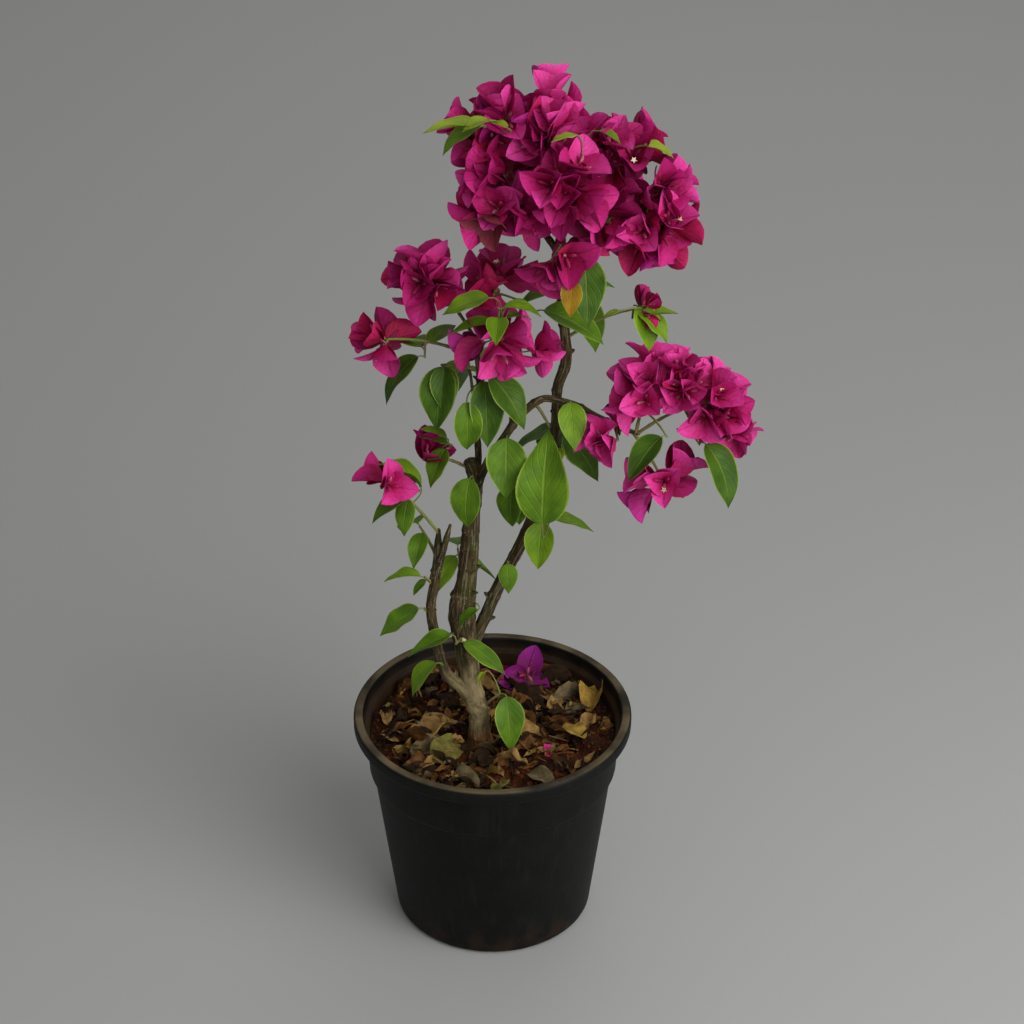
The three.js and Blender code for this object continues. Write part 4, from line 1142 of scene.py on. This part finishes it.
def add_limb(piece, name, seed):
    """A limb with its bark: the radius times one plus value noise, drawn out lengthwise, and at each old
    leaf a Gaussian ring that is highest on one side. The trunk also has lobes of cosines that fade with
    height over its foot, and a Gaussian bulge. The tip is a short cap."""
    points, bare, even = limb_path(name)
    angle = turns(TUBE_SIDES)
    radii, along = bare[:, None], even[:, None]
    grain, level = polar(radii, angle, along / 9), polar(4, angle, along)
    thick = radii * (1 + relief(grain, BARK_GRAINS, seed) + relief(level, BARK_LUMPS, seed + 2))
    table = draws(seed + 3, SCARS, 3)
    stops = scar_stops(table)
    for k, stop in enumerate(stops[stops < even[-1] - 4]):
        lean = np.cos(angle - (SCAR_TURN * k + table[k, 1]))
        ring = np.exp(-((along - stop) / SCAR_WIDTH) ** 2)
        thick = thick + ring * radii * (SCAR_RING + SCAR_SIDE * np.maximum(lean, 0) ** 6)
    if LIMBS[name][0] is None:
        lobes = np.cos(5 * angle + 0.8) + 0.6 * np.cos(3 * angle)
        thick = thick + np.exp(-along / ROOT_REACH) * ROOT_SWELL * lobes
        bulge = np.exp(-((points[:, 2:] - BULGE_HEIGHT) / BULGE_REACH) ** 2)
        thick = thick + bulge * BULGE_SWELL * np.maximum(-np.sin(angle), 0)
    rings = sweep(points[None], thick[None], TUBE_SIDES)
    end = rings[:, -1:]
    heart = end.mean(axis=2, keepdims=True)
    cap = heart + (end - heart) * CAP_SHARE + unit(points[-1] - points[-2]) * CAP_RISE
    rings = np.concatenate([rings, cap], axis=1)
    piece.add(rings, around(rings, np.append(even, even[-1] + 1)[None]))
    add_stubs(piece, points, bare, even, draws(seed + 4, SCARS, 5))


def add_stubs(piece, points, radii, even, table):
    """Snags of old twigs: short tapered pegs on straight lines that leave the wood forwards and outwards."""
    stops = scar_stops(table)
    chosen = (stops < even[-1] - STUB_MARGINS[1]) & (stops > STUB_MARGINS[0]) & (table[:, 1] < STUB_CHANCE)
    if not chosen.any():
        return
    row, table = np.searchsorted(even, stops[chosen]), table[chosen]
    along = unit(points[row] - points[row - 1])
    outward = unit(np.cross(along, table[:, 2:] - 0.5))
    reach = radii[row][:, None]
    size = mix(*STUB_LENGTHS, table[:, 4:])
    foot = points[row] + outward * reach * 0.5
    tip = points[row] + outward * (reach + size) + along * size * 0.7
    paths = foot[:, None] + (tip - foot)[:, None] * np.linspace(0, 1, 5)[:, None]
    piece.add(*tube(paths, np.minimum(reach * 0.5, 2.2) * STUB_RADII, 9, np.linspace(0, 5, 5)[None]))


def stem_rings(paths, thick, thin):
    """Stems of the masses: an even taper, with a swelling at each node, where the fourth power of a cosine
    peaks."""
    share = np.linspace(0, 1, paths.shape[1])
    radii = mix(thick, thin, share) * (1 + 0.16 * np.maximum(np.cos(share * 6 * math.pi * 2), 0) ** 4)
    return tube(paths, radii[None], 8)


# Pot and soil

LIP_FOOT = POT_HEIGHT - LIP_HEIGHT
INNER_LIP = RIM_RADIUS - LIP_WIDTH
POT_PROFILE = [
    (0.5, 0), (BASE_RADIUS - FOOT_ROUNDING, 0), (BASE_RADIUS, FOOT_ROUNDING),
    (COLLAR_RADIUS - SHOULDER_STEP, SHOULDER_HEIGHT), (COLLAR_RADIUS, SHOULDER_HEIGHT + SHOULDER_STEP),
    (COLLAR_RADIUS + COLLAR_FLARE, LIP_FOOT), (RIM_RADIUS - 3, LIP_FOOT), (RIM_RADIUS, LIP_FOOT + 3),
    (RIM_RADIUS, POT_HEIGHT - 2.2), (RIM_RADIUS - 1.6, POT_HEIGHT - 0.2), (RIM_RADIUS - 4.5, POT_HEIGHT),
    (INNER_LIP + 1.2, POT_HEIGHT - 0.4), (INNER_LIP, POT_HEIGHT - 1.8), (INNER_LIP - 0.6, LIP_FOOT + WALL),
    (COLLAR_RADIUS + COLLAR_FLARE - WALL, LIP_FOOT),
    (COLLAR_RADIUS - WALL, SHOULDER_HEIGHT + SHOULDER_STEP),
    (COLLAR_RADIUS - SHOULDER_STEP - WALL, SHOULDER_HEIGHT), (BASE_RADIUS - WALL, FLOOR), (0.5, FLOOR)]
POT_SEGMENTS = 144
EDGE_ROUNDING = 1.2
SOIL_RADIUS = 110.2
SOIL_DEPTH = 26
SOIL_SEGMENTS = 240
SOIL_LUMPS = [(13, 1.5), (6, 1.3), (2.6, 0.8)]
SOIL_SINK = 1.6
SOIL_RINGS = 96
TRUNK_FOOT = LIMBS["trunk"][1][0]
TRUNK_CLEAR = 20
HEAP_EDGE = (15, 29)
BARE_EDGE = (44, 88)
BARE_SHARE = 0.86
CLOD_COUNT = 900
CLOD_RISES = np.array([-0.92, -0.6, 0.0, 0.6, 0.92])
CLOD_SIZES = (0.7, 2.2)
CLOD_SQUASH = (0.8, 1.3)
CLOD_WAVE = 0.28
PEBBLE_CHANCE = 0.04
PEBBLE_EXTRA = 2.2
CRUMB_REACH = 108
STICK_COUNT = 46
STICK_REACH = 92
STICK_HALVES = (4, 12)
STICK_RADII = [0.5, 0.8, 0.9, 0.6]
BITS = [(47, -36, 40, 9), (49, -41, 300, 7), (-45, 68, 60, 17), (-2, 81, 330, 19), (6, 76, 20, 15)]
BIT_TONES = [1, 3, 6, 2, 3]
SCRAP_COUNT = 520
SCRAP_DRAWS = 1400
SCRAP_LENGTHS = (9, 38)
SCRAP_CROWD = 1.6
SCRAP_RISES = (-1.5, 4.5)
SCRAP_DROOPS = (-22, 22)


def lathe(profile, segments):
    """One closed turning: each point of the profile, as radius and height, goes round the upright axis."""
    radius, height = (column[:, None] for column in np.asarray(profile, float).T)
    return polar(radius, turns(segments), height)[None]


def rounded(profile, radius, steps=4):
    """The profile with each inner corner replaced by a short curve that touches both its sides."""
    corners = np.asarray(profile, float)
    made = [corners[:1]]
    for before, here, after in zip(corners, corners[1:], corners[2:]):
        reach = min(radius, span(before - here) / 2.2, span(after - here) / 2.2)
        start, end = here + unit(before - here) * reach, here + unit(after - here) * reach
        made.append(bezier(start, here, end, np.linspace(0, 1, steps)))
    return np.vstack([*made, corners[-1:]])


def filled(profile, step):
    """The profile with points added so that none of its sides is longer than a step."""
    steps = run(profile)
    return resample(profile, steps, np.union1d(steps, np.arange(0, steps[-1], step)))


def from_trunk(x, y):
    """How far places lie from the middle of the trunk's foot."""
    return np.hypot(x - TRUNK_FOOT[0], y - TRUNK_FOOT[1])


def soil_height(x, y):
    """Height of the heaped litter: a swell and a ripple of sines, level near the trunk's foot, as in the
    part's source."""
    waves = HEAP + HEAP_SWELL * np.sin(x / 9 + 1) * np.sin(y / 11) + HEAP_RIPPLE * np.sin(x / 5.1 + y / 6.3)
    return SOIL_TOP + smoothstep(from_trunk(x, y), *HEAP_EDGE) * waves


def rough_height(x, y):
    """The soil under the litter: the heap with value noise added for its lumps and crumbs."""
    return soil_height(x, y) + relief(np.stack([x, y, 0 * x], axis=-1), SOIL_LUMPS, 1) - SOIL_SINK


def add_soil(piece):
    """The soil: rings about the upright axis whose top follows the rough height, with an upright edge and a
    flat underside."""
    radius = np.concatenate([[1], np.linspace(2, SOIL_RADIUS, SOIL_RINGS)])[::-1]
    underside = [(1, SOIL_TOP - SOIL_DEPTH), (SOIL_RADIUS, SOIL_TOP - SOIL_DEPTH)]
    profile = np.vstack([underside, np.stack([radius, np.full_like(radius, SOIL_TOP)], axis=1)])
    rings = lathe(profile, SOIL_SEGMENTS)
    top = rings[:, 2:]
    top[..., 2] = rough_height(top[..., 0], top[..., 1])
    piece.add(rings)


def scattered(reach, table):
    """The x and y of places even over a disc, from the first two draws of each row."""
    return polar(reach * np.sqrt(table[:, 0]), 2 * math.pi * table[:, 1], 0).T[:2]


def add_clods(piece, seed):
    """Clods and pebbles scattered over the soil: balls, whose rings follow the root of 1 - z^2, each with
    its own squash and waved edges."""
    table = draws(seed, CLOD_COUNT, 8)
    x, y = scattered(CRUMB_REACH, table)
    size = mix(*CLOD_SIZES, table[:, 2] ** 2) + PEBBLE_EXTRA * (table[:, 3] > 1 - PEBBLE_CHANCE)
    heart = np.stack([x, y, rough_height(x, y) + size * 0.35], axis=1)
    tip = unit(np.stack([table[:, 4] - 0.5, table[:, 5] - 0.5, table[:, 6] + 0.2], axis=1))
    paths = heart[:, None] + tip[:, None] * (CLOD_RISES * size[:, None])[..., None]
    radii = np.sqrt(1 - CLOD_RISES**2) * (size * mix(*CLOD_SQUASH, table[:, 7]))[:, None]
    waves = np.sin(np.arange(7) * 2.6 + 9 * table[:, 3:4])[:, None]
    rings = sweep(paths, radii[..., None] * (1 + CLOD_WAVE * waves * np.cos(CLOD_RISES * 2)[:, None]), 7)
    piece.add(rings, finish=pick(table[:, 5] * 0.6 + table[:, 2] * 0.4, [5, 5, 2]))


def dry_blades(rows):
    """Blade parts from rows of x, y, z, heading, droop and length."""
    rows = np.array(rows, float)
    along, face = zip(*(leaf_frame(heading, droop) for heading, droop in rows[:, 3:5]))
    return rows[:, :3], np.array(along), np.array(face), rows[:, 5]


def named_litter():
    """Dry leaves that the part's source has: the named ones, then the scattered ones."""
    found = list(DRY_LEAVES)
    for k, (heading, rise, length) in enumerate(draws(LITTER_SEED, LITTER_COUNT, 3)):
        away = LITTER_REACH * math.sqrt((k + 3) / (LITTER_COUNT + 3))
        turn = math.radians(GOLDEN * k)
        found.append((away * math.cos(turn), away * math.sin(turn), 360 * heading, mix(*LITTER_RISES, rise),
                      mix(*LITTER_LENGTHS, length)))
    return [(x, y, soil_height(x, y) - 1, heading, -rise - DRY_LEAF["bend"] / 2, length)
            for x, y, heading, rise, length in found]


def add_litter(piece, seed):
    """Litter: the source's own dry leaves, then the scraps and the sticks."""
    foot, *rest = dry_blades(named_litter())
    count = len(foot)
    table = draws(seed, SCRAP_DRAWS, 10)
    ways = habit(count, table, bend=(-10, 40), fold=(-14, 26), twist=(-50, 50), ripple=(0.04, 0.12),
                 waves=(2, 5), phase=(0, 6), curl=(-0.5, 0.7), crumple=(0.03, 0.08), width=(0.7, 1.4))
    ways["width"][0], ways["crumple"][0], ways["twist"][0] = 1.7, 0.09, 10
    rings, lay = blade_rings((foot + UP * 2.5, *rest), DRY_LEAF, *LITTER_GRID, ways)
    piece.add(rings, lay, np.concatenate([[0, 4, 3, 3], pick(table[4:count, 9], [3, 5, 3, 0.4, 0.3, 2.4])]))
    add_scraps(piece, table[count:], seed + 1)
    add_sticks(piece, seed + 2)


def add_scraps(piece, table, seed):
    """Smaller curled scraps of dry leaf, heaped over all but the front right of the soil."""
    x, y = scattered(CRUMB_REACH - 3, table)
    bare = smoothstep(0.7 * x - y + 12 * np.sin(x / 17), *BARE_EDGE) * BARE_SHARE
    kept = np.flatnonzero((table[:, 2] > bare) & (from_trunk(x, y) > TRUNK_CLEAR))[:SCRAP_COUNT]
    x, y, table = x[kept], y[kept], table[kept]
    length = mix(*SCRAP_LENGTHS, table[:, 3] ** SCRAP_CROWD)
    heap = soil_height(x, y) + mix(*SCRAP_RISES, table[:, 8])
    rows = np.stack([x, y, heap, 360 * table[:, 4], mix(*SCRAP_DROOPS, table[:, 5]), length], axis=1)
    foot, along, face, _ = dry_blades(rows)
    foot = foot - along * length[:, None] * 0.4
    ends = np.stack([foot, foot + along * length[:, None]])
    inside = (np.hypot(ends[..., 0], ends[..., 1]) < CRUMB_REACH).all(axis=0)
    blades = [part[inside] for part in (foot, along, face, length)]
    ways = habit(len(blades[0]), draws(seed, SCRAP_COUNT, 10), bend=(-90, 70), fold=(-10, 60),
                 twist=(-110, 110), ripple=(0.04, 0.14), waves=(2, 5), phase=(0, 6), curl=(-0.6, 0.9),
                 crumple=(0.03, 0.12), width=(0.4, 1.4))
    # the dark tone comes most often: partly rotted leaf, partly painted shade in the litter's gaps
    tone = pick(table[inside, 6], [2.4, 6, 7, 0.5, 0.2, 2])
    piece.add(*blade_rings(blades, DRY_LEAF, *SCRAP_GRID, ways), tone)


def add_sticks(piece, seed):
    """Bits of dry twig that lie on the soil."""
    table = draws(seed, STICK_COUNT, 6)
    middle = scattered(STICK_REACH, table).T
    half = polar(1, 2 * math.pi * table[:, 2], 0)[:, :2] * mix(*STICK_HALVES, table[:, 3:4])
    foot, crown, tip = (np.column_stack([place, soil_height(*place.T) + 1 + 3 * table[:, 4]])
                        for place in (middle - half, middle, middle + half))
    tone = pick(table[:, 5], [3, 4, 2, 0, 0, 1])
    piece.add(*stalk_rings(foot, crown + UP * 2, tip, STICK_RADII, 6, 6), tone)


def add_bits(piece, seed):
    """Scraps of fallen bract on the litter."""
    rows = [(x, y, soil_height(x, y) + 4, heading, -10, length) for x, y, heading, length in BITS]
    ways = habit(len(rows), draws(seed, len(rows), 7), bend=(-40, 20), fold=(0, 40), twist=(-60, 60),
                 ripple=(0.04, 0.1), waves=(2, 4), phase=(0, 6), curl=(0.2, 0.9))
    piece.add(*blade_rings(dry_blades(rows), BRACT_SHAPE, *BRACT_GRID, ways), np.array(BIT_TONES))


def add_cocoon(piece):
    """A pale cocoon, as long as a grain of rice, on the front of the trunk: its rings follow the root of
    1 - z^2."""
    rise = np.cos(np.linspace(math.pi - 0.3, 0.3, 9))
    path = np.array(COCOON) + COCOON_LEAN * (rise * COCOON_LENGTH / 2)[:, None]
    rings = sweep(path[None], np.sqrt(1 - rise**2)[None] * COCOON_LENGTH / 3.6, 12)
    piece.add(rings, finish=2)


# The object

FADED = np.array([-1.0, -42, 702])
OPENED = np.array([139.0, -36, 472])
COCOON = (-25.5, -17.5, 297)
COCOON_LEAN = np.array([0.9, -0.2, -0.38])
COCOON_LENGTH = 7.5
# bract finishes by region; the right cluster's large share of the bright finish is painted light for the key
# lamp on that side, and elsewhere bright is a random tone
SHARES = dict(head=[9, 4, 4, 2, 2, 0.15, 0], middle=[9, 3, 4, 3, 2, 0, 0], right=[4, 12, 1, 1, 2, 0, 0],
              low=[6, 3, 5, 2, 1, 0, 0], buds=[1, 0, 4, 6, 0, 0, 0])
SEEDS = dict(fill=300, blooms=70, tones=900, leaves=41, bark=20, clods=5, litter=6, fallen=11, bits=12)
BUD_FLARE = 20
FALLEN_FLARE = 64
UPTURNED = {"leaf_arch_bend": "leaves_right"}
WIDTHS = dict(leaf_arch_bend=0.84, head_bottom=0.84, middle_back=1.1)
TONES = dict(head_bottom="deep", middle_back="mid", head_top_left="light")
DARK_LENGTH = 44
DARK_LEAVES = ("leaves_inner_left", "leaves_inner_right", "leaf_arch_bend")
bracts_of = {region: Piece() for region in SHARES}
tubes, twigs, foliage, bark, pot, soil, litter, clods, fallen, fallen_tubes = (Piece() for _ in range(10))

clusters = {region: [name for name in blooms if name.split("_")[0] == region] for region in SHARES}
for number, (region, names) in enumerate(clusters.items()):
    kept = [bloom for name in names for bloom in blooms[name]]
    kept += fill_head(names, kept, SEEDS["fill"] + number) if region in FILLS else []
    min(kept, key=lambda bloom: span(bloom["heart"] - FADED))["faded"] = region == "head"
    min(kept, key=lambda bloom: span(bloom["heart"] - OPENED))["open"] = region == "right"
    flare = BUD_FLARE if region == "buds" else BRACT_FLARE
    add_blooms(bracts_of[region], tubes, twigs, kept, SEEDS["blooms"] + number, SHARES[region], flare)

for number, leaf in enumerate(leaves):
    name = leaf["name"]
    if name in UPTURNED:
        turn_over(leaf, stems[UPTURNED[name]][-1])
    share = next(itertools.islice(stream(SEEDS["tones"] + number), 1, None))
    if leaf["length"] > DARK_LENGTH or name in DARK_LEAVES:
        tone = "deep" if share < 0.45 else "mid"
    else:
        tone = "mid" if share < 0.55 else "light"
    leaf["tone"], leaf["width"] = TONES.get(name, tone), WIDTHS.get(name, 1)
    if name == "head_top_left" and leaf["length"] > 40:
        leaf["tone"] = "young"
    if name == "leaves_foot_right":
        leaf["foot"] = leaf["foot"] + np.array([5.0, 0, 0])
    if name == "leaves_low_front" and leaf["along"][0] < 0:
        leaf["foot"] = leaf["foot"] + UP * 9
anchors = np.vstack([*stems.values(), *([bloom["middle"]] for kept in blooms.values() for bloom in kept)])
for *foot, heading, droop, length, tone in SMALL_LEAVES:
    foot = np.array(foot, float)
    along, face = leaf_frame(heading, droop)
    joint = nearest(anchors, foot)
    leaves.append(dict(joint=joint, foot=foot, along=along, face=face, length=length, tone=tone))
add_leaves(foliage, twigs, leaves, SEEDS["leaves"])

shares = np.linspace(0, 1, STEM_STOPS + 1)
paths = np.stack([resample(path, shares, np.linspace(0, 1, 25)) for path in stems.values()])
twigs.add(*stem_rings(paths, STEM_RADIUS, TWIG_RADIUS))
for _, _, end, foot, _ in sprigs():
    if foot is not None:
        twigs.add(*stem_rings(risen(foot, end, 16)[None], TWIG_RADIUS, TWIG_RADIUS * 0.8))
for number, name in enumerate(LIMBS):
    add_limb(bark, name, SEEDS["bark"] + 5 * number)

pot.add(lathe(filled(rounded(POT_PROFILE, EDGE_ROUNDING), 9), POT_SEGMENTS))
add_soil(soil)
add_clods(clods, SEEDS["clods"])
add_litter(litter, SEEDS["litter"])
spot = np.array([FALLEN_BLOOM[0] + 1, FALLEN_BLOOM[1], SOIL_TOP + 13.0])
lying = dict(foot=spot, axis=unit(np.array([0, -0.8, 0.6])), joint=spot + np.array([-4.0, 8, -9]), spin=1.25,
             length=30)
add_blooms(fallen, fallen_tubes, fallen_tubes, [lying], SEEDS["fallen"], [0, 0, 0, 0, 0, 0, 1], FALLEN_FLARE,
           stars=0)
add_bits(fallen, SEEDS["bits"])
add_cocoon(tubes)

pot.build("pot_shell", "pot", [pot_finish()], ["pot"])
soil.build("soil_bed", "soil", [soil_finish()], ["soil"])
clods.build("soil_clods", "soil", CLODS, ["soil"])
litter.build("dry_leaves", "soil", DRY, ["soil"])
fallen.build("fallen_bracts", "blossom", MAGENTA, ["soil"])
fallen_tubes.build("fallen_flowers", "blossom", TUBE_FINISHES, ["soil"])
bark.build("bark_wood", "bark", [bark_finish()], list(LIMBS))
twigs.build("twigs_fine", "bark", [twig_finish()], list(MASSES))
leaf_nodes = [name for name in MASSES if name not in blooms or MASSES[name]["twig"]]
foliage.build("foliage", "leaf", GREEN, leaf_nodes)
tubes.build("flower_tubes", "blossom", TUBE_FINISHES, list(blooms))
for region, piece in bracts_of.items():
    piece.build(f"bracts_{region}", "blossom", MAGENTA, clusters[region])


# Camera, studio and light

FLOOR_REACH = 24


def look(place, target):
    """The turn that points a camera or lamp at a target."""
    away = np.array(place, float) - np.array(target, float)
    return (math.atan2(np.hypot(away[0], away[1]), away[2]), 0, math.atan2(away[1], away[0]) + math.pi / 2)


def softbox(name, place, target, size, power):
    """A square lamp that faces a target and isn't seen itself."""
    data = bpy.data.lights.new(name, "AREA")
    data.size, data.energy = size, power
    lamp = bpy.data.objects.new(name, data)
    lamp.location = place
    lamp.rotation_euler = look(place, target)
    lamp.visible_camera = False
    bpy.context.scene.collection.objects.link(lamp)


def studio(reach):
    """A plain square floor."""
    points = [(x * reach, y * reach, 0) for x, y in ((-1, -1), (1, -1), (1, 1), (-1, 1))]
    mesh = bpy.data.meshes.new("studio_floor")
    mesh.from_pydata(points, [], [(0, 1, 2, 3)])
    finish = Finish("studio_grey", Roughness=0.9)
    mesh.materials.append(finish.paint(tint("a8a9a7")))
    made = bpy.data.objects.new("studio_floor", mesh)
    bpy.context.scene.collection.objects.link(made)


studio(FLOOR_REACH)
softbox("key", (1.15, -1.15, 1.6), (0.05, 0, 0.3), 2.0, 32)
softbox("side", (1.7, -1.5, 0.9), (0.75, -0.65, 0), 1.2, 17)
softbox("fill", (-1.4, -2.4, 1.6), (0, 0, 0.4), 2.4, 7)
softbox("back", (0.5, 2.4, 2.6), (0.3, 2.1, 0), 2.6, 21)
world = bpy.data.worlds.new("studio_air")
world.use_nodes = True
world.node_tree.nodes["Background"].inputs["Color"].default_value = (0.5, 0.5, 0.5, 1)
world.node_tree.nodes["Background"].inputs["Strength"].default_value = 0.5
bpy.context.scene.world = world
bpy.context.scene.view_settings.view_transform = "Standard"

camera = bpy.data.objects.new("camera", bpy.data.cameras.new("camera"))
camera.data.lens, camera.data.sensor_width = CAMERA_LENS, CAMERA_SENSOR
camera.data.clip_start, camera.data.clip_end = 0.05, 50
camera.location = [axis / 1000 for axis in CAMERA_PLACE]
camera.rotation_euler = (math.radians(90 - CAMERA_DIP), 0, 0)
bpy.context.scene.collection.objects.link(camera)
bpy.context.scene.camera = camera
